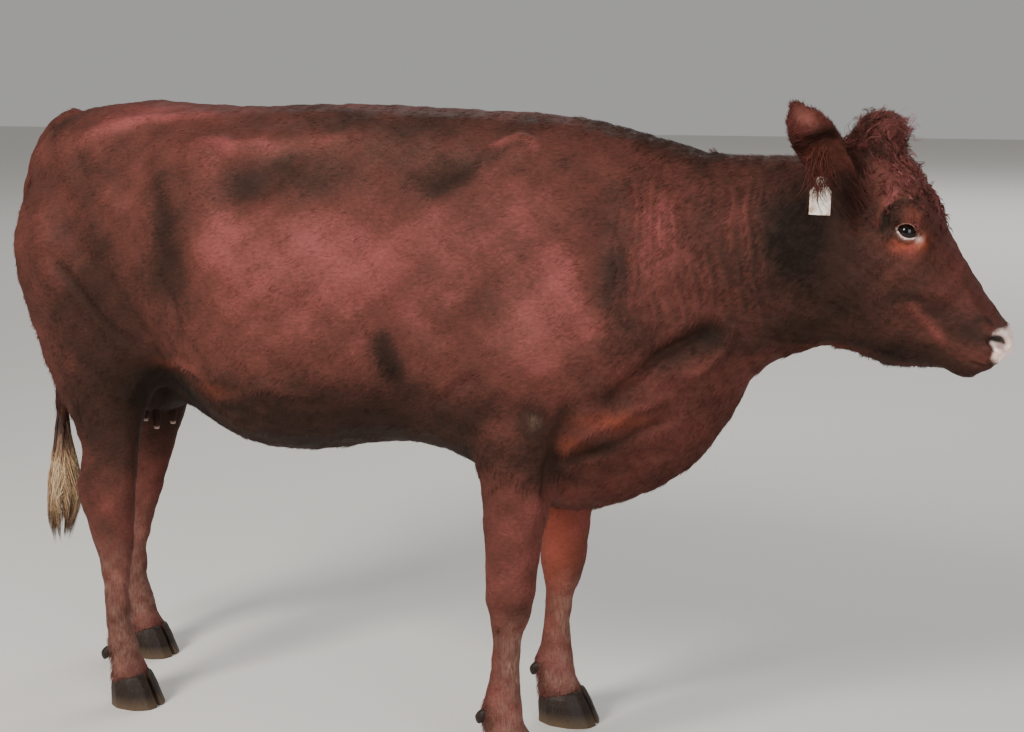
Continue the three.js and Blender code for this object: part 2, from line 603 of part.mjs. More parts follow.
/** Every node of the animal as [name, solid, material]. */
function cow() {
  let whole = torso().add(skull());
  for (const [name, side] of Object.entries(SIDES)) {
    whole = whole.add(leg(FORE_SLICES, side, FORE_STRIDE[name]));
    whole = whole.add(leg(HIND_SLICES, side, HIND_STRIDE[name]));
  }
  const nodes = [];
  const headward = parted(whole, ahead(THROAT_LINE), [1, 0, 0]);
  nodes.push(...headNodes(headward.inside));
  const neckward = parted(headward.outside, ahead(SHOULDER_LINE), [1, 0, 0]);
  nodes.push(['neck', neckward.inside, 'coat']);
  let trunk = neckward.outside;
  const hindquarter = parted(trunk, under(HIND_LINE), [-0.5, 0, -1]);
  trunk = hindquarter.outside;
  const middle = under([[-FAR, FAR], [FAR, FAR]], -GROIN_HALF, GROIN_HALF);
  const narrow = under([[-FAR, FAR], [FAR, FAR]], -GROIN_HALF + SEAM, GROIN_HALF - SEAM);
  nodes.push(...udderNodes(largest(hindquarter.inside.intersect(narrow))));
  const outsides = hindquarter.inside.subtract(middle).subtract(udderBag(SEAM * 2));
  const thighs = outsides.decompose().sort((a, b) => b.volume() - a.volume()).slice(0, 2);
  for (const [name, side] of Object.entries(SIDES)) {
    const foreleg = largest(trunk.intersect(forelegArea(side, SEAM)));
    trunk = trunk.subtract(forelegArea(side, 0));
    const thigh = thighs.find((piece) => centreY(piece) * side > 0);
    nodes.push(...legNodes(`foreleg_${name}`, foreleg, side, FORELEG_MIDDLE * side,
      FORE_STRIDE[name], KNEE_CUT, FORE_SLICES));
    nodes.push(...legNodes(`hindleg_${name}`, thigh, side, HINDLEG_MIDDLE * side,
      HIND_STRIDE[name], HOCK_CUT, HIND_SLICES));
  }
  nodes.push(['trunk', largest(trunk), 'coat'], ...tailNodes(trunk));
  return nodes;
}

// ---- The scene graph ----
const group = new THREE.Group();
for (const [name, body, look] of cow()) {
  const material = new THREE.MeshStandardMaterial({ color: COLOURS[look], roughness: ROUGHNESS[look] });
  const mesh = new THREE.Mesh(surface(body), material);
  mesh.name = name;
  group.add(mesh);
}
group.position.x = ORIGIN_AHEAD;

export default group;
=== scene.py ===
"""A life-size red polled cow: one hide over the flesh, a coat of mesh tufts, eyes, ears, hooves, tail and tag.

Metres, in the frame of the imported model: +X towards the muzzle, +Y towards the left side, +Z up.
"""

import math

import bmesh
import bpy
import numpy as np
from mathutils import Matrix, Vector


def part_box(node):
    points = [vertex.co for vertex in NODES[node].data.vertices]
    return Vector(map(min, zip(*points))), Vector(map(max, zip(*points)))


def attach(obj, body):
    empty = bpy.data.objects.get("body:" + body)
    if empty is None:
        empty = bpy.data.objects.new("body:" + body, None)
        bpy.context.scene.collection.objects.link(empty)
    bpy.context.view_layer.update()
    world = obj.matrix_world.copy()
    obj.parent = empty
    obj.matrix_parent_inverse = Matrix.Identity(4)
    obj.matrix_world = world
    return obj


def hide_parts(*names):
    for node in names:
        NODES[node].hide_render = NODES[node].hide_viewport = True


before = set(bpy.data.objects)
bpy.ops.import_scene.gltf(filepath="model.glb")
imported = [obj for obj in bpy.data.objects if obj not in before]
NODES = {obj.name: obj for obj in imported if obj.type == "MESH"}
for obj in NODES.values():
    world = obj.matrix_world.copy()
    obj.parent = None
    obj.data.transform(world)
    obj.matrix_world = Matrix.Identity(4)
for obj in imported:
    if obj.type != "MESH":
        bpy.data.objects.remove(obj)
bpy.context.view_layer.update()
RANDOM = np.random.default_rng(20)
LEGS = ("foreleg_right", "foreleg_left", "hindleg_right", "hindleg_left")
SIDES = {"right": -1, "left": 1}

# ---- Sizes ----
FUSE = 0.0108                    # grain at which the parts of the flesh are fused
SWELL = 0.0012                   # the parts grow by this so that neighbours meet
BODY_COAT = 0.0035               # the hide lies this far inside the flesh nodes
FACE_COAT = 0.0018
POLL_COAT = 0.012
ROUNDING = 0.35                  # how far a tuft of flat hair is shaded as round
HAIR = 0.0021                    # width of one drawn tuft of short hair; single hairs would not show
FOLD_GAIN = 1.25                 # how strongly the creases and ridges are drawn
HIND_STRIDE = 0.172              # the left hind leg stands this much further back
FORE_STRIDE = 0.014
STRIDE_HEIGHTS = (0.230, 0.960)
EYE = Vector((0.945, 0.093, 1.121))
EYE_RADIUS = 0.020
LID_LENGTH = 0.0205              # half the length of the slit between the lids
LID_UP, LID_DOWN = 0.0135, 0.0118
NOSTRIL = Vector((1.112, 0.052, 0.927))
NOSTRIL_HALF = (0.028, 0.0150)
POLL = Vector((0.868, 0.0, 1.287))
WHORL = Vector((0.955, 0.0, 1.190))


# ---- Colour and nodes ----

def rgb(code):
    """The linear colour of an sRGB hex value."""
    parts = [((code >> shift) & 255) / 255 for shift in (16, 8, 0)]
    linear = [p / 12.92 if p <= 0.04045 else ((p + 0.055) / 1.055) ** 2.4 for p in parts]
    return (*linear, 1.0)


def new_material(name):
    """An empty material with its node tree, its surface shader and its output joined."""
    made = bpy.data.materials.new(name)
    made.use_nodes = True
    tree = made.node_tree
    tree.nodes.clear()
    out = tree.nodes.new("ShaderNodeOutputMaterial")
    shader = tree.nodes.new("ShaderNodeBsdfPrincipled")
    tree.links.new(shader.outputs["BSDF"], out.inputs["Surface"])
    return made, tree, shader


def add(tree, kind, settings=None, **links):
    """Adds a node. A link is a socket name with _ for a space; its value is an output or a constant."""
    node = tree.nodes.new(kind)
    for key, value in (settings or {}).items():
        setattr(node, key, value)
    for key, value in links.items():
        name = key.replace("_", " ")
        socket = node.inputs[int(key[2:])] if key.startswith("in") and key[2:].isdigit() else node.inputs[name]
        if isinstance(value, bpy.types.NodeSocket):
            tree.links.new(value, socket)
        else:
            socket.default_value = value
    return node


def ramp(tree, factor, stops):
    """A colour ramp through (place, hex) stops."""
    node = add(tree, "ShaderNodeValToRGB", Fac=factor)
    elements = node.color_ramp.elements
    for i, (place, code) in enumerate(stops):
        element = elements[i] if i < 2 else elements.new(place)
        element.position = place
        element.color = rgb(code)
    return node.outputs["Color"]


def blend(tree, factor, below, above):
    """One colour laid over another by a factor."""
    node = add(tree, "ShaderNodeMix", {"data_type": "RGBA"})
    tree.links.new(factor, node.inputs[0])
    for socket, value in ((node.inputs[6], below), (node.inputs[7], above)):
        if isinstance(value, bpy.types.NodeSocket):
            tree.links.new(value, socket)
        else:
            socket.default_value = value
    return node.outputs[2]


def per_metre(millimetres):
    """The scale that gives a pattern this many millimetres from one feature to the next."""
    return 1000.0 / millimetres


# ---- Mesh tools ----

def coords(mesh):
    """The places of a mesh's vertices as an array."""
    out = np.empty(len(mesh.vertices) * 3, np.float32)
    mesh.vertices.foreach_get("co", out)
    return out.reshape(-1, 3).astype(float)


def normals(mesh):
    """The outward directions at a mesh's vertices."""
    out = np.empty(len(mesh.vertices) * 3, np.float32)
    mesh.vertices.foreach_get("normal", out)
    return out.reshape(-1, 3).astype(float)


def put(mesh, points):
    """Moves a mesh's vertices to new places."""
    mesh.vertices.foreach_set("co", points.astype(np.float32).ravel())
    mesh.update()


def pairs_of(mesh):
    """The two ends of every edge."""
    out = np.empty(len(mesh.edges) * 2, np.int32)
    mesh.edges.foreach_get("vertices", out)
    return out.reshape(-1, 2)


def relax(mesh, rounds, weight=1.0):
    """Smooths a mesh without shrinking it: each round draws vertices together and then pushes them back."""
    points = coords(mesh)
    pairs = pairs_of(mesh)
    count = np.maximum(np.bincount(pairs.ravel(), minlength=len(points)), 1)
    weight = np.broadcast_to(weight, len(points))[:, None]
    for _ in range(rounds):
        for step in (0.5, -0.52):
            total = np.stack([
                np.bincount(pairs[:, 0], points[pairs[:, 1], k], len(points))
                + np.bincount(pairs[:, 1], points[pairs[:, 0], k], len(points)) for k in range(3)], 1)
            points += step * weight * (total / count[:, None] - points)
    put(mesh, points)


def evenly(made, grain, name):
    """One closed mesh at an even grain over everything in a bmesh, which it uses up."""
    mesh = bpy.data.meshes.new(name)
    made.to_mesh(mesh)
    made.free()
    holder = bpy.data.objects.new(name, mesh)
    bpy.context.scene.collection.objects.link(holder)
    fuse = holder.modifiers.new("fuse", "REMESH")
    fuse.mode, fuse.voxel_size = "VOXEL", grain
    even = bpy.data.meshes.new_from_object(holder.evaluated_get(bpy.context.evaluated_depsgraph_get()))
    bpy.data.objects.remove(holder)
    even.name = name
    return even


def fused(names, grain, swell, name):
    """One closed mesh over copies of the named solids, each grown a little, at an even grain."""
    both = bmesh.new()
    for node in names:
        part = bmesh.new()
        part.from_mesh(NODES[node].data)
        bmesh.ops.remove_doubles(part, verts=part.verts, dist=1e-5)
        part.normal_update()
        moves = [(vert, vert.normal.copy()) for vert in part.verts]
        for vert, out in moves:
            vert.co += out * swell
        held = bpy.data.meshes.new("held")
        part.to_mesh(held)
        part.free()
        both.from_mesh(held)
        bpy.data.meshes.remove(held)
    return evenly(both, grain, name)


def refined(mesh, choose):
    """Halves the grain of a mesh where choose says so of its face centres."""
    grid = bmesh.new()
    grid.from_mesh(mesh)
    centres = np.array([face.calc_center_median() for face in grid.faces])
    chosen = choose(centres)
    edges = {edge for face, yes in zip(grid.faces, chosen) if yes for edge in face.edges}
    bmesh.ops.subdivide_edges(grid, edges=list(edges), cuts=1, use_grid_fill=True)
    grid.to_mesh(mesh)
    grid.free()
    mesh.update()


def smoothly(mesh):
    """Shades a mesh smoothly."""
    mesh.polygons.foreach_set("use_smooth", np.ones(len(mesh.polygons), bool))


def piece(mesh, name, material, slot, *stands_for):
    """Puts a finished mesh in the scene as a piece of the cow."""
    made = bpy.data.objects.new(name, mesh)
    bpy.context.scene.collection.objects.link(made)
    mesh.materials.clear()
    mesh.materials.append(material)
    smoothly(mesh)
    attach(made, "root")
    if stands_for:
        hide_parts(*stands_for)
    return made


# ---- Places on the body ----

def step01(value, low, high):
    """0 below low, 1 above high, and smooth between them."""
    t = np.clip((value - low) / (high - low), 0, 1)
    return t * t * (3 - 2 * t)


def home(points):
    """The same places with the left legs brought beside the right ones, and all on one side."""
    out = points.copy()
    low = 1 - step01(points[:, 2], *STRIDE_HEIGHTS)
    left = points[:, 1] > 0
    out[:, 0] += np.where(left & (points[:, 0] < -0.35), HIND_STRIDE * low, 0)
    out[:, 0] += np.where(left & (points[:, 0] > -0.10), FORE_STRIDE * low, 0)
    out[:, 1] = np.abs(points[:, 1])
    return out


def near(points, at, reach):
    """1 at a place, fading over its reach along each axis."""
    away = (points - np.array(at)) / np.array(reach)
    return np.exp(-(away ** 2).sum(1))


def along(points, line, width):
    """1 on a line through places, fading over the width and towards its two ends."""
    line = np.array(line, float)
    best = np.full(len(points), np.inf)
    place = np.zeros(len(points))
    count = len(line) - 1
    for i in range(count):
        a, run = line[i], line[i + 1] - line[i]
        t = np.clip(((points - a) @ run) / (run @ run), 0, 1)
        away = ((points - a - t[:, None] * run) ** 2).sum(1)
        closer = away < best
        best = np.where(closer, away, best)
        place = np.where(closer, (i + t) / count, place)
    ends = step01(place, -0.02, 0.22) * (1 - step01(place, 0.78, 1.02))
    return np.exp(-best / width ** 2) * ends


def waver(points, size, shift=0.0):
    """A gentle uneven wave between -1 and 1, about this far from crest to crest."""
    turns = 2 * math.pi / size
    ways = ((0.83, 0.31, 0.46), (-0.27, 0.72, 0.64), (0.41, -0.58, 0.70), (-0.69, -0.22, 0.69))
    waves = [np.sin(turns * (1 + 0.23 * i) * (points @ np.array(way)) + 2.1 * i + shift) for i, way in enumerate(ways)]
    return sum(waves) / 2.6


# Bones, muscles, hollows: place, reach, lift in metres.
LUMPS = [
    ("hook bone", (-0.435, 0.225, 1.258), (0.050, 0.050, 0.028), 0.010),
    ("front of the hook bone", (-0.315, 0.200, 1.262), (0.040, 0.050, 0.030), 0.006),
    ("pit before the hook bone", (-0.335, 0.275, 1.175), (0.050, 0.060, 0.045), -0.012),
    ("hollow under the loin", (-0.260, 0.225, 1.235), (0.055, 0.050, 0.028), -0.007),
    ("line over the hook bone", (-0.490, 0.190, 1.283), (0.070, 0.040, 0.012), -0.006),
    ("rump hollow", (-0.780, 0.205, 1.200), (0.045, 0.050, 0.040), -0.007),
    ("thigh muscle", (-0.640, 0.235, 1.000), (0.110, 0.060, 0.110), 0.008),
    ("rear thigh muscle", (-0.880, 0.215, 1.060), (0.050, 0.060, 0.110), 0.007),
    ("pit beside the tail head", (-0.935, 0.060, 1.315), (0.045, 0.028, 0.035), -0.010),
    ("top of the shoulder blade", (0.200, 0.095, 1.262), (0.045, 0.040, 0.025), 0.007),
    ("behind the shoulder blade", (0.095, 0.165, 1.225), (0.035, 0.050, 0.045), -0.008),
    ("shoulder muscle", (0.290, 0.200, 1.000), (0.075, 0.060, 0.130), 0.007),
    ("arm muscle", (0.260, 0.215, 0.860), (0.070, 0.060, 0.060), 0.006),
    ("hollow before the shoulder", (0.395, 0.170, 1.110), (0.030, 0.060, 0.110), -0.009),
    ("neck muscle", (0.500, 0.150, 1.080), (0.080, 0.060, 0.090), 0.006),
    ("hollow under the neck", (0.520, 0.165, 0.885), (0.080, 0.050, 0.030), -0.010),
    ("brisket lobe", (0.520, 0.120, 0.720), (0.100, 0.060, 0.045), 0.008),
    ("lower brisket", (0.330, 0.120, 0.570), (0.080, 0.070, 0.050), 0.006),
    ("knee front", (0.240, 0.154, 0.385), (0.020, 0.028, 0.040), 0.006),
    ("knee outer", (0.205, 0.192, 0.380), (0.028, 0.014, 0.034), 0.005),
    ("knee rear", (0.148, 0.154, 0.365), (0.014, 0.018, 0.024), 0.004),
    ("under the knee", (0.230, 0.160, 0.322), (0.024, 0.034, 0.050), 0.005),
    ("end of the tail", (-1.025, 0.0, 0.615), (0.040, 0.040, 0.070), 0.0025),
    ("forearm muscle", (0.215, 0.200, 0.600), (0.040, 0.040, 0.090), 0.006),
    ("fetlock rear fore", (0.140, 0.154, 0.135), (0.014, 0.024, 0.020), 0.003),
    ("hock bone", (-0.860, 0.150, 0.500), (0.020, 0.024, 0.028), 0.006),
    ("hock outer", (-0.755, 0.190, 0.455), (0.028, 0.014, 0.035), 0.005),
    ("shin muscle", (-0.760, 0.195, 0.640), (0.030, 0.030, 0.070), 0.004),
    ("brow", (0.955, 0.100, 1.152), (0.024, 0.026, 0.014), 0.006),
    ("brow fold", (0.925, 0.100, 1.150), (0.016, 0.022, 0.020), 0.003),
    ("hollow before the eye", (0.992, 0.078, 1.100), (0.018, 0.022, 0.022), -0.004),
    ("cheek crest", (0.985, 0.082, 1.012), (0.050, 0.030, 0.012), 0.004),
    ("hollow under the crest", (1.000, 0.072, 0.975), (0.045, 0.030, 0.016), -0.004),
    ("lip pad", (1.060, 0.060, 0.905), (0.030, 0.026, 0.016), 0.003),
    ("nostril wing", (1.094, 0.064, 0.948), (0.020, 0.018, 0.010), 0.003),
    ("chin", (1.035, 0.030, 0.868), (0.028, 0.030, 0.014), 0.003),
]

MOUTH = ("mouth", [(1.112, 0.030, 0.874), (1.094, 0.056, 0.880), (1.050, 0.064, 0.888), (1.000, 0.058, 0.900),
                   (0.965, 0.060, 0.912)], 0.0035, -0.005)
# Creases in the hide (lift below 0) and ridges (above 0): line, width, lift.
FOLDS = [
    ("neck groove", [(0.395, 0.190, 0.760), (0.458, 0.186, 0.817), (0.514, 0.167, 0.867), (0.569, 0.141, 0.909),
                     (0.620, 0.118, 0.940)], 0.022, -0.014),
    ("over the neck groove", [(0.420, 0.190, 0.830), (0.470, 0.180, 0.875), (0.540, 0.150, 0.925),
                              (0.600, 0.120, 0.965)], 0.020, 0.006),
    ("pouch edge", [(0.610, 0.121, 0.952), (0.634, 0.110, 0.930), (0.624, 0.109, 0.890), (0.590, 0.119, 0.852),
                    (0.545, 0.128, 0.828)], 0.009, 0.005),
    ("upper brisket fold", [(0.315, 0.175, 0.660), (0.327, 0.181, 0.685), (0.369, 0.187, 0.721),
                            (0.419, 0.175, 0.743), (0.469, 0.160, 0.775), (0.530, 0.137, 0.795)], 0.010, 0.007),
    ("under the brisket fold", [(0.320, 0.170, 0.640), (0.339, 0.163, 0.665), (0.394, 0.150, 0.690),
                                (0.460, 0.135, 0.730), (0.548, 0.100, 0.765)], 0.012, -0.009),
    ("top of the shoulder blade", [(0.126, 0.160, 1.205), (0.136, 0.133, 1.242), (0.155, 0.109, 1.267),
                                   (0.184, 0.087, 1.282), (0.218, 0.096, 1.272), (0.242, 0.117, 1.246)],
     0.008, 0.005),
    ("under the blade top", [(0.140, 0.140, 1.225), (0.160, 0.118, 1.250), (0.186, 0.100, 1.264),
                             (0.212, 0.106, 1.256), (0.228, 0.122, 1.240)], 0.008, -0.005),
    ("behind the shoulder", [(0.201, 0.218, 1.090), (0.184, 0.236, 0.994), (0.164, 0.249, 0.918),
                             (0.150, 0.252, 0.820)], 0.026, -0.006),
    ("elbow crease", [(0.080, 0.243, 0.755), (0.110, 0.247, 0.790), (0.139, 0.251, 0.812),
                      (0.185, 0.249, 0.835)], 0.009, -0.007),
    ("between arm and brisket", [(0.345, 0.215, 0.800), (0.332, 0.205, 0.750), (0.306, 0.190, 0.690),
                                 (0.290, 0.170, 0.620), (0.278, 0.155, 0.550)], 0.014, -0.012),
    ("hook bone ridge", [(-0.540, 0.219, 1.240), (-0.470, 0.214, 1.264), (-0.388, 0.212, 1.262),
                         (-0.330, 0.200, 1.270), (-0.296, 0.212, 1.240)], 0.011, 0.006),
    ("rump ridge", [(-0.875, 0.154, 1.260), (-0.764, 0.157, 1.287), (-0.644, 0.143, 1.309),
                    (-0.535, 0.130, 1.318), (-0.440, 0.140, 1.312)], 0.018, 0.006),
    ("thigh crease", [(-0.855, 0.230, 1.020), (-0.783, 0.236, 0.954), (-0.704, 0.228, 0.867),
                      (-0.620, 0.205, 0.815)], 0.010, -0.006),
    ("stifle fold", [(-0.500, 0.292, 0.960), (-0.481, 0.296, 0.885), (-0.497, 0.281, 0.835)], 0.011, -0.006),
    ("flank fold", [(-0.655, 0.185, 0.762), (-0.596, 0.205, 0.790), (-0.500, 0.270, 0.812),
                    (-0.433, 0.293, 0.795), (-0.405, 0.280, 0.748), (-0.338, 0.300, 0.762),
                    (-0.266, 0.318, 0.788), (-0.189, 0.306, 0.775), (-0.131, 0.290, 0.768)], 0.010, 0.008),
    ("under the flank fold", [(-0.600, 0.190, 0.760), (-0.500, 0.260, 0.785), (-0.440, 0.280, 0.765),
                              (-0.390, 0.270, 0.720), (-0.330, 0.280, 0.735), (-0.260, 0.300, 0.760)], 0.014, -0.008),
    ("last rib", [(-0.305, 0.321, 1.030), (-0.292, 0.326, 0.960), (-0.275, 0.328, 0.900)], 0.010, -0.002),
    ("rib", [(-0.215, 0.310, 1.060), (-0.200, 0.318, 0.970), (-0.180, 0.318, 0.880)], 0.014, -0.002),
    ("milk vein", [(-0.300, 0.230, 0.690), (-0.200, 0.225, 0.680), (-0.080, 0.200, 0.655), (0.010, 0.170, 0.630)],
     0.010, 0.004),
    ("fore tendon groove", [(0.176, 0.176, 0.320), (0.177, 0.176, 0.260), (0.176, 0.178, 0.190)], 0.007, -0.004),
    ("fore inner groove", [(0.176, 0.130, 0.320), (0.177, 0.130, 0.260), (0.176, 0.128, 0.190)], 0.007, -0.004),
    ("hind tendon groove", [(-0.780, 0.174, 0.350), (-0.778, 0.171, 0.280), (-0.776, 0.174, 0.200)], 0.007, -0.004),
    ("heel cord hollow", [(-0.835, 0.185, 0.700), (-0.835, 0.185, 0.620), (-0.832, 0.185, 0.550)], 0.014, -0.010),
    ("heel cord hollow inside", [(-0.835, 0.085, 0.700), (-0.835, 0.096, 0.620), (-0.832, 0.105, 0.550)],
     0.014, -0.010),
    MOUTH,
    ("jaw edge", [(0.800, 0.090, 0.905), (0.850, 0.085, 0.885), (0.910, 0.070, 0.878), (0.970, 0.055, 0.880)],
     0.010, 0.003),
    ("fold over the eye", [(0.907, 0.106, 1.112), (0.910, 0.104, 1.132), (0.908, 0.101, 1.155),
                           (0.919, 0.098, 1.169), (0.942, 0.096, 1.177), (0.964, 0.080, 1.168)], 0.005, -0.004),
    ("ridge round the eye", [(0.895, 0.105, 1.118), (0.896, 0.102, 1.150), (0.909, 0.094, 1.182),
                             (0.938, 0.091, 1.191)], 0.007, 0.004),
    ("cheek ridge", [(0.946, 0.095, 0.998), (0.988, 0.068, 0.952), (1.019, 0.056, 0.907)], 0.010, 0.004),
    ("fold under the eye", [(0.915, 0.108, 1.100), (0.940, 0.102, 1.088), (0.965, 0.095, 1.082)], 0.004, -0.0025),
]


def eye_axes(side):
    """The directions of an eye: along the slit towards the muzzle, across it upwards, and outwards."""
    out = Vector((0.20, side * 0.97, 0.07)).normalized()
    forward = Vector((1, 0, -0.42))
    forward = (forward - out * forward.dot(out)).normalized()
    up = out.cross(forward) * (1 if side < 0 else -1)
    if up.z < 0:
        up = -up
    return np.array(forward), np.array(up), np.array(out)


def local(points, centre, axes):
    """Places measured from a centre along three axes."""
    away = points - np.array(centre)
    return [away @ axis for axis in axes]


def eye_centre(side):
    return np.array((EYE.x, EYE.y * side, EYE.z))


def slit(a, b):
    """Below 0 between the lids, above 0 outside them, in units of the slit's half height."""
    half = np.where(b > 0, LID_UP, LID_DOWN)
    return np.abs(b) / half - (1 - np.clip(np.abs(a) / LID_LENGTH, 0, 1) ** 2.2) + np.maximum(
        np.abs(a) - LID_LENGTH, 0) / 0.004


def sculpt_lids(points):
    """Draws the hide round each eyeball into two lids, and down behind the ball between them."""
    for side in SIDES.values():
        axes = eye_axes(side)
        a, b, c = local(points, eye_centre(side), axes)
        reach = np.hypot(a, b)
        here = (reach < 0.050) & (c > -0.012)
        flat = np.sqrt(np.maximum(EYE_RADIUS ** 2 - reach ** 2, 0))
        open_by = slit(a, b)
        lid = np.sqrt(np.maximum((EYE_RADIUS + 0.0028) ** 2 - reach ** 2, 0))
        hug = 1 - step01(reach, 0.016, 0.030)
        height = c + hug * (np.maximum(lid, c - 0.004) - c)
        sunk = 1 - step01(open_by, -0.16, 0.10)
        height = height + sunk * (flat - 0.0060 - height)
        points += np.where(here, height - c, 0)[:, None] * axes[2]
    return points


def nostril_axes(side):
    """The directions of a nostril: along its slit to the front, across it upwards, and outwards."""
    run = Vector((0.028, -side * 0.025, -0.009)).normalized()
    out = Vector((0.66, side * 0.74, 0.08))
    out = (out - run * out.dot(run)).normalized()
    up = out.cross(run)
    if up.z < 0:
        up = -up
    return np.array(run), np.array(up), np.array(out)


def nostril_depth(points, side):
    """How far out of a nostril's edge a place is: 0 at its middle and 1 at its rim."""
    centre = (NOSTRIL.x, NOSTRIL.y * side, NOSTRIL.z)
    a, b, c = local(points, centre, nostril_axes(side))
    b = b + 0.004 * (a / NOSTRIL_HALF[0]) ** 2
    return np.sqrt((a / NOSTRIL_HALF[0]) ** 2 + (b / NOSTRIL_HALF[1]) ** 2), c


def sculpt_nostrils(points):
    """Sinks the nostrils and raises a soft rim round them."""
    for side in SIDES.values():
        place, c = nostril_depth(points, side)
        out = nostril_axes(side)[2]
        here = np.abs(c) < 0.03
        dent = -0.015 * np.sqrt(np.clip(1 - place ** 2, 0, 1))
        rim = 0.0022 * np.exp(-((place - 1.35) / 0.3) ** 2)
        points += np.where(here, dent + rim, 0)[:, None] * out
    return points


def neck_wrinkles(points, where):
    """Upright wrinkles of loose hide on the side of the neck and the throat."""
    x, z = where[:, 0], where[:, 2]
    mask = step01(x, 0.385, 0.45) * (1 - step01(x, 0.66, 0.74)) * step01(z, 0.90, 0.98) * (1 - step01(z, 1.17, 1.23))
    mask = mask * step01(where[:, 1], 0.04, 0.08)
    bend = x + 0.12 * (z - 1.05) + 0.006 * waver(where, 0.16)
    wave = np.abs(np.sin(math.pi * bend / 0.026)) ** 0.7 - 0.6
    fine = np.abs(np.sin(math.pi * (bend + 0.004 * waver(where, 0.09, 1.0)) / 0.015)) ** 0.7 - 0.6
    strength = 0.55 + 0.45 * waver(where * np.array((1.0, 1.0, 0.5)), 0.12, 2.0)
    return 0.0056 * mask * strength * (0.7 * wave + 0.4 * fine)


def relief(where):
    """How far bones, muscles, creases and ridges raise or sink the hide at each place."""
    bones = sum(height * near(where, at, reach) for _, at, reach, height in LUMPS)
    return bones + FOLD_GAIN * sum(height * along(where, line, width) for _, line, width, height in FOLDS)


def coat_depth(where):
    """How far the hide lies inside the flesh nodes at each place."""
    face = step01(where[:, 0], 0.80, 0.90) * step01(where[:, 2], 0.80, 0.86)
    legs = 1 - step01(where[:, 2], 0.42, 0.60)
    depth = BODY_COAT + (FACE_COAT - BODY_COAT) * np.maximum(face, legs)
    poll = near(where, (POLL.x, 0, POLL.z + 0.012), (0.055, 0.06, 0.034))
    front = near(where, (0.922, 0.0, 1.285), (0.030, 0.07, 0.034))
    return depth + (POLL_COAT - depth) * np.clip(poll * 1.4, 0, 1) + 0.011 * front


# ---- The hide ----

FLESH = ["head", "lower_jaw", "topknot", "neck", "trunk", "udder", "tail_root", "tail_upper", "tail_lower"]
FLESH += [f"{leg}_{part}" for leg in LEGS for part in ("upper", "cannon", "foot")]


def make_hide():
    """The one skin: the flesh fused, smoothed, drawn in by the coat's depth, and sculpted."""
    mesh = fused(FLESH, FUSE, SWELL, "hide")
    points = coords(mesh)
    trunk = step01(points[:, 2], 0.50, 0.75) * (1 - step01(points[:, 0], 0.75, 0.85))
    tail = 1 - step01(points[:, 0], -1.00, -0.97)
    relax(mesh, 34, np.clip(0.25 + 0.75 * trunk - 0.6 * tail, 0.12, 1))
    refined(mesh, lambda c: (c[:, 0] > 0.385) & (c[:, 2] > 0.80))
    relax(mesh, 3)
    refined(mesh, lambda c: (c[:, 0] > 0.885) & (c[:, 2] > 1.06) & (c[:, 2] < 1.18) & (np.abs(c[:, 1]) > 0.06))
    refined(mesh, lambda c: (c[:, 0] > 1.035) & (c[:, 2] < 0.97))
    relax(mesh, 2)
    points, out = coords(mesh), normals(mesh)
    where = home(points)
    lift = -(SWELL + coat_depth(where))
    lift += relief(where) + neck_wrinkles(points, where)
    lift += 0.0012 * waver(points, 0.07) + 0.0006 * waver(points, 0.03, 1.0)
    points = points + lift[:, None] * out
    points = sculpt_nostrils(sculpt_lids(points))
    put(mesh, points)
    return mesh


# ---- Markings, the same on hide and hair ----

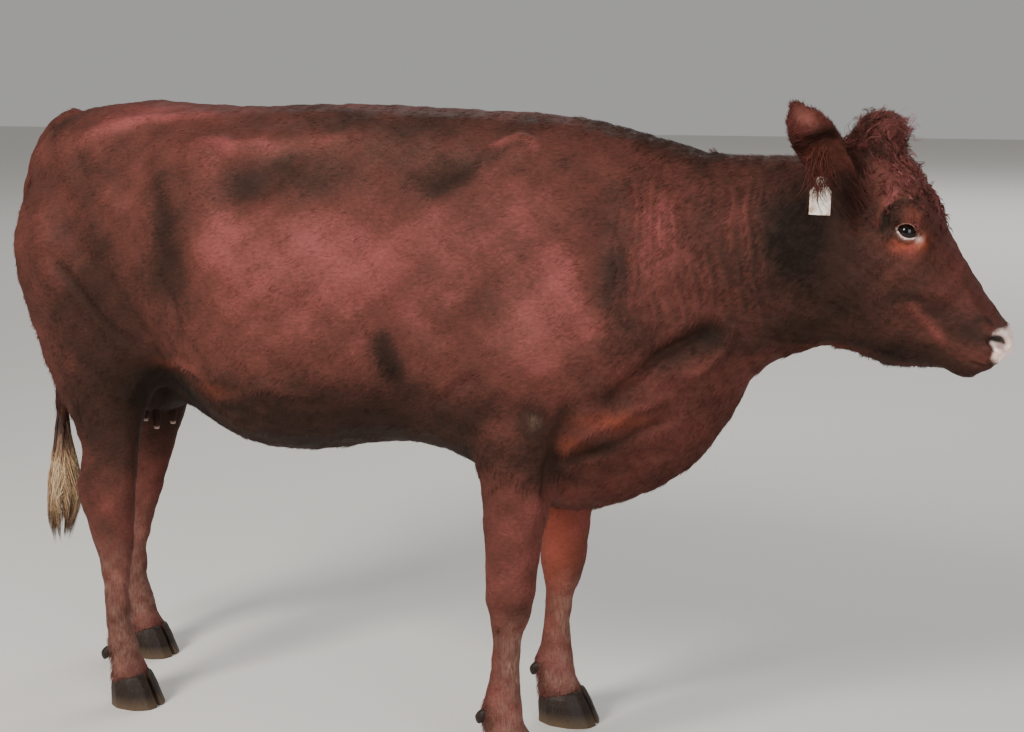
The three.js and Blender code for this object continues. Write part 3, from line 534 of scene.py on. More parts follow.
# Light and dark of the coat: place, reach, change of tone. Entries marked below are painted shade or painted sunlight,
# not hair colour.
TONES = [
    ("barrel", (-0.20, 0.30, 1.06), (0.27, 0.25, 0.10), 0.20),
    ("fore barrel", (0.07, 0.28, 1.06), (0.12, 0.20, 0.09), 0.08),
    ("under the barrel", (-0.15, 0.30, 0.92), (0.30, 0.20, 0.08), 0.05),
    ("shoulder", (0.22, 0.18, 1.14), (0.09, 0.15, 0.07), 0.06),
    ("lower shoulder", (0.30, 0.22, 0.91), (0.06, 0.10, 0.06), 0.13),
    ("rear barrel", (-0.37, 0.30, 1.07), (0.05, 0.20, 0.08), 0.07),
    ("behind the shoulder", (0.150, 0.25, 0.90), (0.04, 0.10, 0.10), 0.03),
    ("lower barrel patch", (-0.005, 0.28, 0.835), (0.030, 0.09, 0.050), -0.12),
    # Painted shade on the underside: the lower side and the belly are darkened as if in shadow.
    ("lower side", (-0.15, 0.29, 0.75), (0.45, 0.20, 0.055), -0.23),
    ("belly", (-0.15, 0.20, 0.655), (0.50, 0.25, 0.06), -0.30),
    ("loin", (-0.22, 0.24, 1.200), (0.14, 0.12, 0.050), -0.15),
    ("middle of the back", (0.05, 0.18, 1.205), (0.08, 0.12, 0.06), -0.12),
    # Painted shade in the pit before the hip.
    ("pit before the hip", (-0.335, 0.265, 1.172), (0.05, 0.09, 0.03), -0.16),
    ("back", (-0.02, 0.10, 1.305), (0.34, 0.12, 0.035), -0.16),
    ("rump top", (-0.62, 0.12, 1.325), (0.16, 0.10, 0.03), 0.16),
    ("hip", (-0.42, 0.22, 1.255), (0.08, 0.08, 0.025), 0.01),
    # Painted shade in the thigh hollow.
    ("thigh hollow", (-0.505, 0.29, 1.04), (0.06, 0.12, 0.11), -0.27),
    ("thigh", (-0.70, 0.24, 0.95), (0.15, 0.15, 0.18), -0.20),
    ("rear of the thigh", (-0.77, 0.22, 0.78), (0.12, 0.15, 0.14), -0.12),
    ("buttock", (-0.90, 0.18, 1.10), (0.06, 0.12, 0.12), -0.07),
    # Painted shade on the side of the tail head.
    ("tail head", (-0.90, 0.10, 1.300), (0.06, 0.08, 0.03), -0.14),
    ("hind leg", (-0.78, 0.18, 0.565), (0.07, 0.08, 0.13), -0.15),
    # Painted shade low on the flank, between the legs under the belly.
    ("flank", (-0.60, 0.18, 0.71), (0.10, 0.20, 0.075), -0.50),
    ("pin bone", (-0.82, 0.17, 1.25), (0.05, 0.06, 0.02), 0.10),
    ("crest", (0.45, 0.00, 1.28), (0.20, 0.05, 0.07), -0.20),
    ("neck front", (0.43, 0.18, 1.05), (0.025, 0.12, 0.08), -0.17),
    ("neck", (0.505, 0.15, 1.10), (0.040, 0.10, 0.12), 0.10),
    # Painted shadow cast by the ear and head on the neck.
    ("behind the ear", (0.755, 0.10, 1.10), (0.065, 0.10, 0.10), -0.46),
    ("under the throat", (0.72, 0.07, 0.93), (0.09, 0.10, 0.03), -0.12),
    # Painted shade in the pouch at the end of the neck groove.
    ("pouch", (0.600, 0.12, 0.915), (0.045, 0.06, 0.030), -0.24),
    ("start of the groove", (0.470, 0.18, 0.840), (0.045, 0.06, 0.030), 0.14),
    ("brisket", (0.45, 0.13, 0.67), (0.07, 0.10, 0.05), 0.08),
    # Painted shade in the brisket crease.
    ("brisket crease", (0.40, 0.15, 0.690), (0.06, 0.05, 0.018), -0.20),
    ("elbow", (0.285, 0.22, 0.730), (0.030, 0.05, 0.038), -0.12),
    ("round the elbow scab", (0.278, 0.225, 0.752), (0.024, 0.05, 0.022), -0.22),
    ("rear arm", (0.215, 0.22, 0.735), (0.040, 0.06, 0.05), 0.10),
    ("cheek", (0.84, 0.09, 0.98), (0.06, 0.06, 0.08), -0.20),
    ("temple", (0.845, 0.08, 1.19), (0.03, 0.05, 0.05), -0.08),
    ("nose bridge", (1.02, 0.0, 1.10), (0.08, 0.045, 0.10), 0.14),
    # Painted shade along the underside of the jaw.
    ("jaw", (0.90, 0.05, 0.895), (0.13, 0.06, 0.026), -0.34),
    ("side of the nose", (1.03, 0.07, 1.02), (0.06, 0.05, 0.05), 0.03),
    ("muzzle side", (1.065, 0.065, 0.942), (0.030, 0.04, 0.018), -0.20),
    ("upper lip", (1.060, 0.062, 0.893), (0.030, 0.04, 0.016), 0.10),
    ("chin", (1.035, 0.03, 0.868), (0.045, 0.05, 0.022), -0.22),
    # Painted shade in the fold of the brow.
    ("brow", (0.915, 0.10, 1.150), (0.030, 0.03, 0.022), -0.24),
    ("forehead", (0.93, 0.03, 1.21), (0.05, 0.07, 0.06), 0.15),
    ("top of the temple", (0.895, 0.075, 1.215), (0.035, 0.04, 0.04), 0.14),
    ("topknot", (0.915, 0.0, 1.295), (0.03, 0.07, 0.05), 0.18),
    ("forearm", (0.23, 0.16, 0.53), (0.08, 0.08, 0.12), 0.02),
    # Painted sunlight on the inner face of the foreleg.
    ("inner foreleg", (0.19, 0.105, 0.40), (0.09, 0.035, 0.17), 0.12),
    ("fore knee", (0.225, 0.17, 0.350), (0.035, 0.05, 0.035), -0.16),
    # Painted shade on the inner thigh between the hind legs.
    ("inner thigh", (-0.62, 0.06, 0.66), (0.16, 0.08, 0.14), -0.25),
    ("tail", (-1.06, 0.0, 0.70), (0.07, 0.05, 0.30), -0.22),
]
# Light and dark lines: line, width, change of tone. Many are painted highlights along ridges and painted shade in
# creases and hollows, as marked below.
STREAKS = [
    # Painted highlight along the hip ridge.
    ("hip to back", [(-0.45, 0.22, 1.262), (-0.37, 0.235, 1.258), (-0.30, 0.21, 1.250), (-0.20, 0.19, 1.275),
                     (-0.05, 0.13, 1.300)], 0.020, 0.15),
    ("front of the shoulder", [(0.270, 0.20, 1.110), (0.330, 0.21, 1.020), (0.380, 0.22, 0.946), (0.412, 0.22, 0.900)],
     0.034, 0.13),
    # Painted shade in the neck groove.
    ("neck groove", [(0.380, 0.20, 0.790), (0.450, 0.185, 0.825), (0.510, 0.165, 0.862), (0.577, 0.135, 0.899),
                     (0.650, 0.105, 0.940)], 0.026, -0.03),
    ("lower barrel patch", [(-0.030, 0.28, 0.925), (-0.012, 0.28, 0.865), (0.020, 0.28, 0.805), (0.055, 0.27, 0.755)],
     0.021, -0.30),
    ("fore finger of the loin", [(-0.040, 0.26, 1.225), (-0.085, 0.28, 1.165), (-0.110, 0.29, 1.120)], 0.024, -0.16),
    # Painted highlight along the cheek crest, and painted shade above it.
    ("cheek", [(0.946, 0.095, 0.998), (0.988, 0.068, 0.952), (1.019, 0.056, 0.907)], 0.011, 0.16),
    ("over the cheek ridge", [(0.915, 0.100, 1.010), (0.938, 0.096, 1.006), (0.985, 0.090, 1.008)], 0.009, -0.16),
    ("side of the nose", [(0.975, 0.080, 1.060), (1.020, 0.070, 1.010), (1.060, 0.062, 0.975)], 0.016, 0.05),
    # Painted shade in the crease behind the eye, and painted highlight on the ridge behind it.
    ("crease behind the eye", [(0.907, 0.106, 1.112), (0.910, 0.104, 1.132), (0.908, 0.101, 1.155),
                               (0.919, 0.098, 1.169), (0.942, 0.096, 1.177), (0.964, 0.080, 1.168)], 0.006, -0.26),
    ("ridge behind the crease", [(0.895, 0.105, 1.118), (0.896, 0.102, 1.150), (0.909, 0.094, 1.182),
                                 (0.938, 0.091, 1.191)], 0.007, 0.16),
    ("under the eye", [(0.914, 0.107, 1.100), (0.945, 0.106, 1.089), (0.970, 0.101, 1.097)], 0.011, 0.34),
    ("over the upper lid", [(0.935, 0.104, 1.146), (0.955, 0.100, 1.146), (0.972, 0.092, 1.138)], 0.008, 0.20),
    # Painted shade in the hollow before the eye.
    ("before the eye", [(0.977, 0.092, 1.112), (0.993, 0.079, 1.089)], 0.010, -0.18),
    ("over the nostril", [(1.058, 0.064, 0.962), (1.080, 0.056, 0.968), (1.100, 0.048, 0.958)], 0.008, -0.16),
    # Painted shade in the narrow valley by the shoulder blade.
    ("under the loin", [(0.175, 0.11, 1.275), (0.120, 0.15, 1.235), (0.070, 0.18, 1.190), (0.030, 0.20, 1.160)],
     0.020, -0.20),
    # Painted highlight along the top edge of the shoulder blade.
    ("top of the shoulder blade", [(0.136, 0.133, 1.242), (0.155, 0.109, 1.267), (0.184, 0.087, 1.282),
                                   (0.218, 0.096, 1.272), (0.242, 0.117, 1.246)], 0.010, 0.20),
    ("spine of the shoulder blade", [(0.200, 0.150, 1.215), (0.225, 0.175, 1.150), (0.262, 0.195, 1.080)], 0.022, 0.10),
    # Painted highlight along the rump ridge.
    ("rump ridge", [(-0.821, 0.172, 1.250), (-0.740, 0.165, 1.285), (-0.644, 0.143, 1.312), (-0.540, 0.140, 1.312)],
     0.018, 0.12),
    ("behind the hip", [(-0.560, 0.235, 1.215), (-0.540, 0.260, 1.140), (-0.505, 0.285, 1.060)], 0.026, -0.12),
    # Painted shade in the thigh crease.
    ("thigh crease", [(-0.855, 0.230, 1.020), (-0.783, 0.236, 0.954), (-0.704, 0.228, 0.867)], 0.012, -0.14),
]
# Warm rusty red of the hair: place, reach, amount. The inner foreleg's entry is painted sunlight on the inner face of
# the foreleg.
RUSTS_AND_SUN = [
    ("brisket fold", (0.43, 0.175, 0.750), (0.075, 0.05, 0.014), 0.34),
    ("brisket corner", (0.34, 0.175, 0.700), (0.030, 0.05, 0.018), 0.25),
    ("flank edge", (-0.40, 0.28, 0.765), (0.05, 0.08, 0.020), 0.20),
    ("flank top", (-0.55, 0.22, 0.795), (0.07, 0.08, 0.012), 0.22),
    ("over the eye", (0.960, 0.096, 1.152), (0.018, 0.03, 0.012), 0.14),
    ("under the eye", (0.945, 0.102, 1.098), (0.026, 0.03, 0.012), 0.54),
    ("eye corner", (0.972, 0.094, 1.106), (0.011, 0.02, 0.014), 0.80),
    ("thigh front", (-0.61, 0.15, 0.66), (0.03, 0.08, 0.05), 0.20),
    ("throat", (0.80, 0.05, 0.885), (0.06, 0.08, 0.016), 0.30),
    # Painted sunlight on the inner face of the foreleg.
    ("inner foreleg", (0.19, 0.105, 0.40), (0.09, 0.035, 0.17), 0.38),
]
DUSTS = [
    ("elbow scab", (0.275, 0.225, 0.745), (0.011, 0.04, 0.015), 0.50),
    ("fore cannon", (0.22, 0.15, 0.24), (0.04, 0.06, 0.08), 1.05),
    ("fore foot", (0.20, 0.15, 0.10), (0.06, 0.06, 0.06), 0.75),
    ("hind foot", (-0.76, 0.15, 0.12), (0.06, 0.06, 0.07), 0.85),
    ("hind cannon", (-0.78, 0.15, 0.28), (0.06, 0.06, 0.10), 0.60),
    ("shoulder", (0.26, 0.22, 0.93), (0.06, 0.10, 0.07), 0.10),
    ("loin", (-0.08, 0.16, 1.25), (0.26, 0.12, 0.06), 0.16),
    ("topknot", (0.885, 0.0, 1.290), (0.06, 0.09, 0.06), 0.36),
    ("forehead", (0.93, 0.03, 1.20), (0.05, 0.08, 0.06), 0.22),
]


def skin_places(points, where):
    """Where the skin is bare, and where a hollow lies in shadow."""
    x, _, z = where.T
    edge = x + 0.004 * waver(where, 0.045) + 0.006 * np.exp(-((z - 0.925) / 0.008) ** 2)
    plate = step01(edge, 1.096, 1.106) * (1 - step01(z, 0.944, 0.952)) * step01(z, 0.880, 0.889)
    udder = 0.03 * near(where, (-0.76, 0.0, 0.690), (0.13, 0.09, 0.060)) * (1 - step01(z, 0.72, 0.80))
    bare = np.maximum(plate, udder)
    hollow = 0.9 * along(where, MOUTH[1], 0.0035)
    hollow = np.maximum(hollow, 0.55 * near(where, (-0.70, 0.0, 0.72), (0.16, 0.13, 0.10)))
    for side in SIDES.values():
        a, b, c = local(points, eye_centre(side), eye_axes(side))
        rim = slit(a, b)
        here = (np.hypot(a, b) < 0.04) & (c > 0)
        corner = 0.46 * np.exp(-((a - 0.0225) / 0.005) ** 2 - ((b + 0.003) / 0.006) ** 2)
        corner = corner + 0.16 * np.exp(-((a - 0.029) / 0.007) ** 2 - ((b + 0.002) / 0.010) ** 2)
        lower = 0.75 * np.exp(-((rim - 0.03) / 0.10) ** 2) * step01(-b, -0.002, 0.004)
        lower = lower + 0.07 * np.exp(-((rim - 0.35) / 0.30) ** 2) * step01(-b, -0.004, 0.006)
        bare = np.maximum(bare, np.where(here, np.maximum(lower, corner), 0))
        place, c = nostril_depth(points, side)
        inner = np.where(np.abs(c) < 0.035, 1 - step01(place, 0.62, 0.95), 0)
        height = local(points, (NOSTRIL.x, NOSTRIL.y * side, NOSTRIL.z), nostril_axes(side))[1]
        hollow = np.maximum(hollow, inner * (0.42 + 0.58 * step01(height, -0.0045, 0.0005)))
    return np.clip(bare, 0, 1), hollow


def markings(points):
    """Tone, rust and painted sunlight, dust, bare skin, and painted shade in hollows at each place; the tone also
    carries painted shade and painted highlights.
    """
    where = home(points)
    x, y, z = where.T
    tone = np.full(len(points), 0.43)
    tone += sum(change * near(where, at, reach) for _, at, reach, change in TONES)
    tone += sum(change * along(where, line, width) for _, line, width, change in STREAKS)
    # Painted light and shade from the relief: ridges, bumps and the crests of the neck wrinkles are painted lighter,
    # creases and hollows darker.
    tone += 11 * np.clip(relief(where), -0.014, 0.010) + 55 * neck_wrinkles(points, where)
    tone -= 0.08 * step01(x, 0.36, 0.46) * step01(z, 0.80, 0.95)
    tone += 0.05 * (1 - step01(z, 0.40, 0.62))
    tone += 0.04 * waver(where, 0.22) + 0.035 * waver(where, 0.09, 1.0)
    rust = np.clip(sum(part * near(where, at, reach) for _, at, reach, part in RUSTS_AND_SUN), 0, 1)
    dust = np.clip(sum(part * near(where, at, reach) for _, at, reach, part in DUSTS), 0, 1)
    dust *= 0.65 + 0.35 * waver(where, 0.045, 0.5)
    bare, hollow = skin_places(points, where)
    return {"tone": np.clip(tone, 0.02, 1), "rust": rust, "dust": dust, "bare": bare, "hollow": hollow}


def mark(mesh, values, repeat=1):
    """Stores the markings on a mesh's vertices."""
    for name, value in values.items():
        layer = mesh.attributes.new(name, "FLOAT", "POINT")
        layer.data.foreach_set("value", np.repeat(value, repeat).astype(np.float32))


def coat_material():
    """Short cattle hair over hide: dark red-brown and dull, lighter and redder on the barrel and shoulder."""
    made, tree, shader = new_material("red_cattle_hair")
    place = add(tree, "ShaderNodeTexCoord").outputs["Object"]
    value = {name: add(tree, "ShaderNodeAttribute", {"attribute_name": name}).outputs["Fac"]
             for name in ("tone", "rust", "dust", "bare", "hollow", "strand")}
    patches = add(tree, "ShaderNodeTexNoise", Vector=place, Scale=per_metre(55), Detail=4.0).outputs["Fac"]
    lie = add(tree, "ShaderNodeMapping", Vector=place, Scale=(0.45, 1.0, 0.9))
    hairs = add(tree, "ShaderNodeTexNoise", Vector=lie.outputs["Vector"], Scale=per_metre(5), Detail=3.0,
                Roughness=0.65).outputs["Fac"]
    mixed = add(tree, "ShaderNodeMath", {"operation": "MULTIPLY_ADD"}, in0=patches, in1=0.16, in2=value["tone"])
    mixed = add(tree, "ShaderNodeMath", {"operation": "MULTIPLY_ADD"}, in0=hairs, in1=0.30,
                in2=mixed.outputs[0])
    mixed = add(tree, "ShaderNodeMath", {"operation": "MULTIPLY_ADD"}, in0=value["strand"], in1=0.13,
                in2=mixed.outputs[0])
    tone = add(tree, "ShaderNodeMath", {"operation": "SUBTRACT"}, in0=mixed.outputs[0], in1=0.23).outputs[0]
    colour = ramp(tree, tone, [(0.0, 0x1A130F), (0.28, 0x37231D), (0.5, 0x5A322C), (0.75, 0x854746), (1.0, 0xA96A68)])
    # Rusty red laid over the tone; on the inner foreleg it is painted sunlight.
    colour = blend(tree, value["rust"], colour, rgb(0x8A3E24))
    down = add(tree, "ShaderNodeMapping", Vector=place, Scale=(1.0, 1.0, 0.16)).outputs["Vector"]
    crumbs = add(tree, "ShaderNodeTexNoise", Vector=down, Scale=per_metre(3.5), Detail=4.0, Roughness=0.7)
    crumbs = add(tree, "ShaderNodeMapRange", Value=crumbs.outputs["Fac"], From_Min=0.30, From_Max=0.72).outputs["Result"]
    dusty = add(tree, "ShaderNodeMath", {"operation": "MULTIPLY"}, in0=value["dust"], in1=crumbs).outputs[0]
    colour = blend(tree, dusty, colour, rgb(0x96796B))
    skin_spots = add(tree, "ShaderNodeTexNoise", Vector=place, Scale=per_metre(9), Detail=3.0).outputs["Fac"]
    skin = ramp(tree, skin_spots, [(0.3, 0xECB8A6), (0.5, 0xFBDDD0), (0.75, 0xFFF3EC)])
    colour = blend(tree, value["bare"], colour, skin)
    # Painted shade: where the hollow mark is set (mouth line, nostrils, between the hind legs, teat tops, the ear's
    # fold and base) the colour goes near-black.
    colour = blend(tree, value["hollow"], colour, rgb(0x160705))
    tree.links.new(colour, shader.inputs["Base Color"])
    rough = add(tree, "ShaderNodeMapRange", Value=value["bare"], To_Min=0.62, To_Max=0.34)
    tree.links.new(rough.outputs["Result"], shader.inputs["Roughness"])
    gloss = add(tree, "ShaderNodeMapRange", Value=value["bare"], To_Min=0.07, To_Max=0.45)
    tree.links.new(gloss.outputs["Result"], shader.inputs["Specular IOR Level"])
    bumps = add(tree, "ShaderNodeTexNoise", Vector=lie.outputs["Vector"], Scale=per_metre(3.2), Detail=3.0)
    relief = add(tree, "ShaderNodeBump", Strength=0.55, Distance=0.0015, Height=bumps.outputs["Fac"])
    tree.links.new(relief.outputs["Normal"], shader.inputs["Normal"])
    return made


# ---- The coat's tufts ----

def surface_places(mesh, count, density):
    """Random places on a mesh, as (places, outward directions), more of them where density is high."""
    mesh.calc_loop_triangles()
    corners = np.empty(len(mesh.loop_triangles) * 3, np.int32)
    mesh.loop_triangles.foreach_get("vertices", corners)
    corners = corners.reshape(-1, 3)
    points, out = coords(mesh), normals(mesh)
    a, b, c = (points[corners[:, i]] for i in range(3))
    share = np.linalg.norm(np.cross(b - a, c - a), axis=1) * density((a + b + c) / 3)
    chosen = RANDOM.choice(len(corners), count, p=share / share.sum())
    u, v = RANDOM.random(count), RANDOM.random(count)
    u, v = np.where(u + v > 1, 1 - u, u), np.where(u + v > 1, 1 - v, v)
    weights = np.stack([1 - u - v, u, v], 1)
    picked = corners[chosen]
    place = (points[picked] * weights[:, :, None]).sum(1)
    ahead = (out[picked] * weights[:, :, None]).sum(1)
    return place, ahead / np.linalg.norm(ahead, axis=1)[:, None]


def unit(vectors):
    return vectors / np.maximum(np.linalg.norm(vectors, axis=1), 1e-9)[:, None]


def lie_of_hair(points, out):
    """The way the hair lies at each place: back and down the body, down the legs, out from the forehead whorl."""
    where = home(points)
    x, _, z = where.T
    way = np.stack([np.full(len(x), -1.0), np.zeros(len(x)), -0.45 - 0.5 * (1 - step01(z, 0.75, 1.15))], 1)
    legs = (1 - step01(z, 0.62, 0.80))[:, None]
    way = way * (1 - legs) + np.array((-0.15, 0.0, -1.0)) * legs
    neck = (step01(x, 0.34, 0.46) * (1 - step01(x, 0.76, 0.84)))[:, None]
    way = way * (1 - neck) + np.array((-0.65, 0.0, -0.85)) * neck
    face = step01(x, 0.82, 0.90)[:, None]
    from_whorl = unit(where - np.array(WHORL)) + np.array((0.2, 0, -0.35))
    way = way * (1 - face) + from_whorl * face
    way[:, 1] *= np.sign(points[:, 1])
    way += 0.16 * np.stack([waver(points, 0.11, s) for s in (0.0, 1.7, 3.1)], 1)
    way -= (way * out).sum(1)[:, None] * out
    return unit(way)


def unwrapped(points, start, end):
    """Where places fall on a sheet wrapped round the line from start to end: along it, and round it."""
    start, end = np.array(start, float), np.array(end, float)
    run = end - start
    axis = run / np.linalg.norm(run)
    first = np.cross(axis, (0.0, 1.0, 0.0))
    first = first / np.linalg.norm(first)
    second = np.cross(axis, first)
    away = points - start
    u = (away @ axis) / np.linalg.norm(run)
    v = np.arctan2(away @ second, away @ first) / (2 * math.pi) + 0.5
    return np.clip(np.stack([u, v], 1), 0.01, 0.99)


def strand_faces(rings):
    """The corners of one strand's faces: four-sided up its three sides, three-sided at the tip and root."""
    sides = [(3 * r + i, 3 * r + (i + 1) % 3, 3 * r + 3 + (i + 1) % 3, 3 * r + 3 + i)
             for r in range(rings - 1) for i in range(3)]
    last = 3 * (rings - 1)
    ends = [(last + i, last + (i + 1) % 3, 3 * rings) for i in range(3)] + [(2, 1, 0)]
    return sides, ends


def strands(name, spines, across, out, widths, uv, marks, thickness=0.30, blunt=0.6, body_shade=None):
    """A joined mesh of tapering three-sided strands along their spines, with markings and the OFBake map.

    With body_shade, an outward direction for each strand, the hair takes its light as the body under it does.
    """
    count, stations = spines.shape[:2]
    rings = stations - 1
    t = np.arange(rings) / rings
    taper = ((1 - t) ** blunt)[None, :, None] * widths[:, None, None]
    ring = spines[:, :rings]
    left = ring - across[:, None] * taper / 2
    right = ring + across[:, None] * taper / 2
    top = ring + out[:, None] * taper * thickness
    verts = np.concatenate([np.stack([left, right, top], 2).reshape(count, rings * 3, 3), spines[:, -1:]], 1)
    size = verts.shape[1]
    sides, ends = strand_faces(rings)
    first = np.arange(count)[:, None, None] * size
    loops = [(np.array(faces)[None] + first).reshape(-1) for faces in (sides, ends) if faces]
    loops = np.concatenate(loops).astype(np.int32)
    totals = np.concatenate([np.full(count * len(sides), 4), np.full(count * len(ends), 3)]).astype(np.int32)
    mesh = bpy.data.meshes.new(name)
    mesh.vertices.add(count * size)
    mesh.vertices.foreach_set("co", verts.astype(np.float32).ravel())
    mesh.loops.add(len(loops))
    mesh.loops.foreach_set("vertex_index", loops)
    mesh.polygons.add(len(totals))
    mesh.polygons.foreach_set("loop_start", (np.cumsum(totals) - totals).astype(np.int32))
    mesh.update(calc_edges=True)
    mark(mesh, marks, size)
    patch = np.zeros((size, 2))
    patch[:-1, 0] = np.tile((-0.0015, 0.0015, 0.0), rings)
    patch[:-1, 1] = np.repeat(t, 3) * 0.003 - 0.0015
    patch[-1, 1] = 0.0015
    places = (uv[:, None] + patch[None]).reshape(-1, 2)
    layer = mesh.uv_layers.new(name="OFBake")
    layer.data.foreach_set("uv", places[loops].astype(np.float32).ravel())
    if body_shade is not None:
        smoothly(mesh)
        lean = np.repeat(body_shade[:, None], size, 1)
        lean[:, :-1] += ROUNDING * np.concatenate([np.stack([-across, across, out], 1)] * rings, 1)
        mesh.normals_split_custom_set_from_vertices(unit(lean.reshape(-1, 3)))
    return mesh


def lain_spines(roots, out, way, lengths, lift, steps, sink=0.0008, sway=0.10):
    """Spines of hair that leaves the hide low and follows its lie."""
    t = np.linspace(0, 1, steps + 1)[None, :, None]
    across = np.cross(out, way)
    side = RANDOM.normal(0, sway, len(roots))[:, None, None]
    rise = lift[:, None, None]
    spine = roots[:, None] - out[:, None] * sink + lengths[:, None, None] * (
        way[:, None] * t + out[:, None] * rise * t ** 0.8 + across[:, None] * side * t * t)
    return spine, across


def grow(name, mesh, count, density, length, width, lift, steps, wrap, spread=0.30, sway=0.10, tone=0.0,
         way=None):
    """A piece of coat: tufts rooted at random on a mesh."""
    roots, out = surface_places(mesh, count, density)
    direction = lie_of_hair(roots, out) if way is None else way(roots, out)
    across = np.cross(out, direction)
    direction = unit(direction + across * RANDOM.normal(0, spread * 0.5, count)[:, None])
    lengths = length(roots) * RANDOM.uniform(0.65, 1.25, count) if callable(length) else length * RANDOM.uniform(
        0.65, 1.25, count)
    lifts = lift(roots) if callable(lift) else np.full(count, lift)
    lifts = lifts * RANDOM.uniform(0.5, 1.4, count)
    spine, across = lain_spines(roots, out, direction, lengths, lifts, steps, sway=sway)
    marks = markings(roots)
    marks["tone"] = marks["tone"] + tone
    marks["strand"] = RANDOM.uniform(-0.5, 0.7, count)
    widths = width * RANDOM.uniform(0.7, 1.3, count)
    return strands(name, spine, across, out, widths, unwrapped(roots, *wrap), marks, body_shade=out)


# ---- Build: hide ----
COAT = coat_material()
hide_mesh = make_hide()
hide_marks = markings(coords(hide_mesh))
hide_marks["strand"] = np.zeros(len(hide_mesh.vertices))
mark(hide_mesh, hide_marks)
piece(hide_mesh, "hide", COAT, "coat", *FLESH)
print("HIDE", len(hide_mesh.vertices), len(hide_mesh.polygons))


# ---- Coat by region ----

def band(low, high, soft, axis):
    """1 between two places along an axis, fading over a soft edge."""
    return lambda c: step01(c[:, axis], low - soft, low) * (1 - step01(c[:, axis], high, high + soft))


def open_face(c):
    """0 on the eyes, nostrils, muzzle plate and udder, where no hair grows, and 1 elsewhere."""
    bare, hollow = skin_places(c, home(c))
    bald = np.maximum(bare, hollow * (c[:, 0] > 0.8)) > 0.25
    for side in SIDES.values():
        a, b, depth = local(c, eye_centre(side), eye_axes(side))
        bald |= (slit(a, b) < 0.30) & (np.hypot(a, b) < 0.03) & (depth > 0)
    return np.where(bald, 0.0, 1.0)


def is_leg(c, fore):
    """1 on the forelegs or the hind legs below the body."""
    where = home(c)
    if fore:
        return ((where[:, 0] > 0.02) & (where[:, 0] < 0.37) & (where[:, 2] < 0.60)).astype(float)
    return ((where[:, 0] < -0.45) & (where[:, 0] > -1.03) & (where[:, 2] < 0.66)
            & (where[:, 1] > 0.05)).astype(float)


TRUNK_WRAP = ((-1.05, 0.0, 0.98), (0.50, 0.0, 0.98))
NECK_WRAP = ((0.30, 0.0, 0.95), (0.85, 0.0, 1.05))
HEAD_WRAP = ((0.80, 0.0, 1.16), (1.13, 0.0, 0.90))


def trunk_length(c):
    """Short hair on the sides, a little longer on the back, brisket, belly and thighs."""
    where = home(c)
    longer = near(where, (0.45, 0.0, 0.62), (0.20, 0.16, 0.12)) + near(where, (-0.2, 0.0, 0.60), (0.4, 0.16, 0.06))
    return 0.019 + 0.010 * np.clip(longer, 0, 1) + 0.006 * (1 - step01(where[:, 2], 0.7, 1.0))


def on_side(side, low, high):
    """1 on one side of the trunk between two places along it."""
    return lambda c: ((c[:, 1] * side > 0) & (c[:, 0] > low) & (c[:, 0] <= high)
                      & (is_leg(c, True) + is_leg(c, False) < 0.5) & (c[:, 0] > -0.998)).astype(float) * open_face(c)


for side_name, side in SIDES.items():
    made = grow(f"coat_trunk_{side_name}", hide_mesh, 42000, on_side(side, -1.03, 0.42), trunk_length, HAIR, 0.07, 1,
                TRUNK_WRAP)
    piece(made, f"coat_trunk_{side_name}", COAT, "coat")
made = grow("coat_neck", hide_mesh, 30000, lambda c: on_side(1, 0.42, 0.80)(c) + on_side(-1, 0.42, 0.80)(c),
            0.021, HAIR, 0.09, 1, NECK_WRAP)
piece(made, "coat_neck", COAT, "coat")
made = grow("coat_head", hide_mesh, 36000,
            lambda c: (c[:, 0] > 0.80) * open_face(c) * (1 + 2 * step01(c[:, 0], 0.95, 1.10)),
            lambda c: 0.015 - 0.008 * step01(c[:, 0], 0.90, 1.08), HAIR * 0.72, 0.10, 1, HEAD_WRAP)
piece(made, "coat_head", COAT, "coat")
for leg in LEGS:
    fore, side = leg.startswith("fore"), (-1 if leg.endswith("right") else 1)
    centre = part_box(f"{leg}_cannon")
    middle = (centre[0] + centre[1]) / 2
    made = grow(f"coat_{leg}", hide_mesh, 12500, lambda c: is_leg(c, fore) * (c[:, 1] * side > 0),
                0.014, HAIR * 0.72, 0.045, 1, ((middle.x, middle.y, 0.75), (middle.x, middle.y, 0.0)))
    piece(made, f"coat_{leg}", COAT, "coat")

# ---- Ears ----
EARS = {
    "right": {"base": (0.835, -0.076, 1.180), "tip": (0.759, -0.178, 1.354), "across": (0.86, -0.05, 0.36),
              "opening": (0.30, -0.95, -0.10)},
    "left": {"base": (0.843, 0.076, 1.190), "tip": (0.799, 0.226, 1.258), "across": (0.80, 0.10, 0.60),
             "opening": (0.55, 0.50, -0.65)},
}
EAR_HALF = 0.048


def ear_axes(ear):
    """An ear's run from base to tip, the direction across it, and the way it opens."""
    run = np.array(ear["tip"]) - np.array(ear["base"])
    across = unit(np.array([ear["across"]]))[0]
    across = unit(np.array([across - run * (across @ run) / (run @ run)]))[0]
    opening = unit(np.array([ear["opening"]]))[0]
    opening = opening - run * (opening @ run) / (run @ run)
    opening = unit(np.array([opening - across * (opening @ across)]))[0]
    return run, across, opening


def ear_place(points, ear):
    """Where places lie in an ear: from base to tip, across it, and towards its open side."""
    run, across, opening = ear_axes(ear)
    away = points - np.array(ear["base"])
    t = away @ run / (run @ run)
    away = away - t[:, None] * run
    return t, away @ across / EAR_HALF, away @ opening


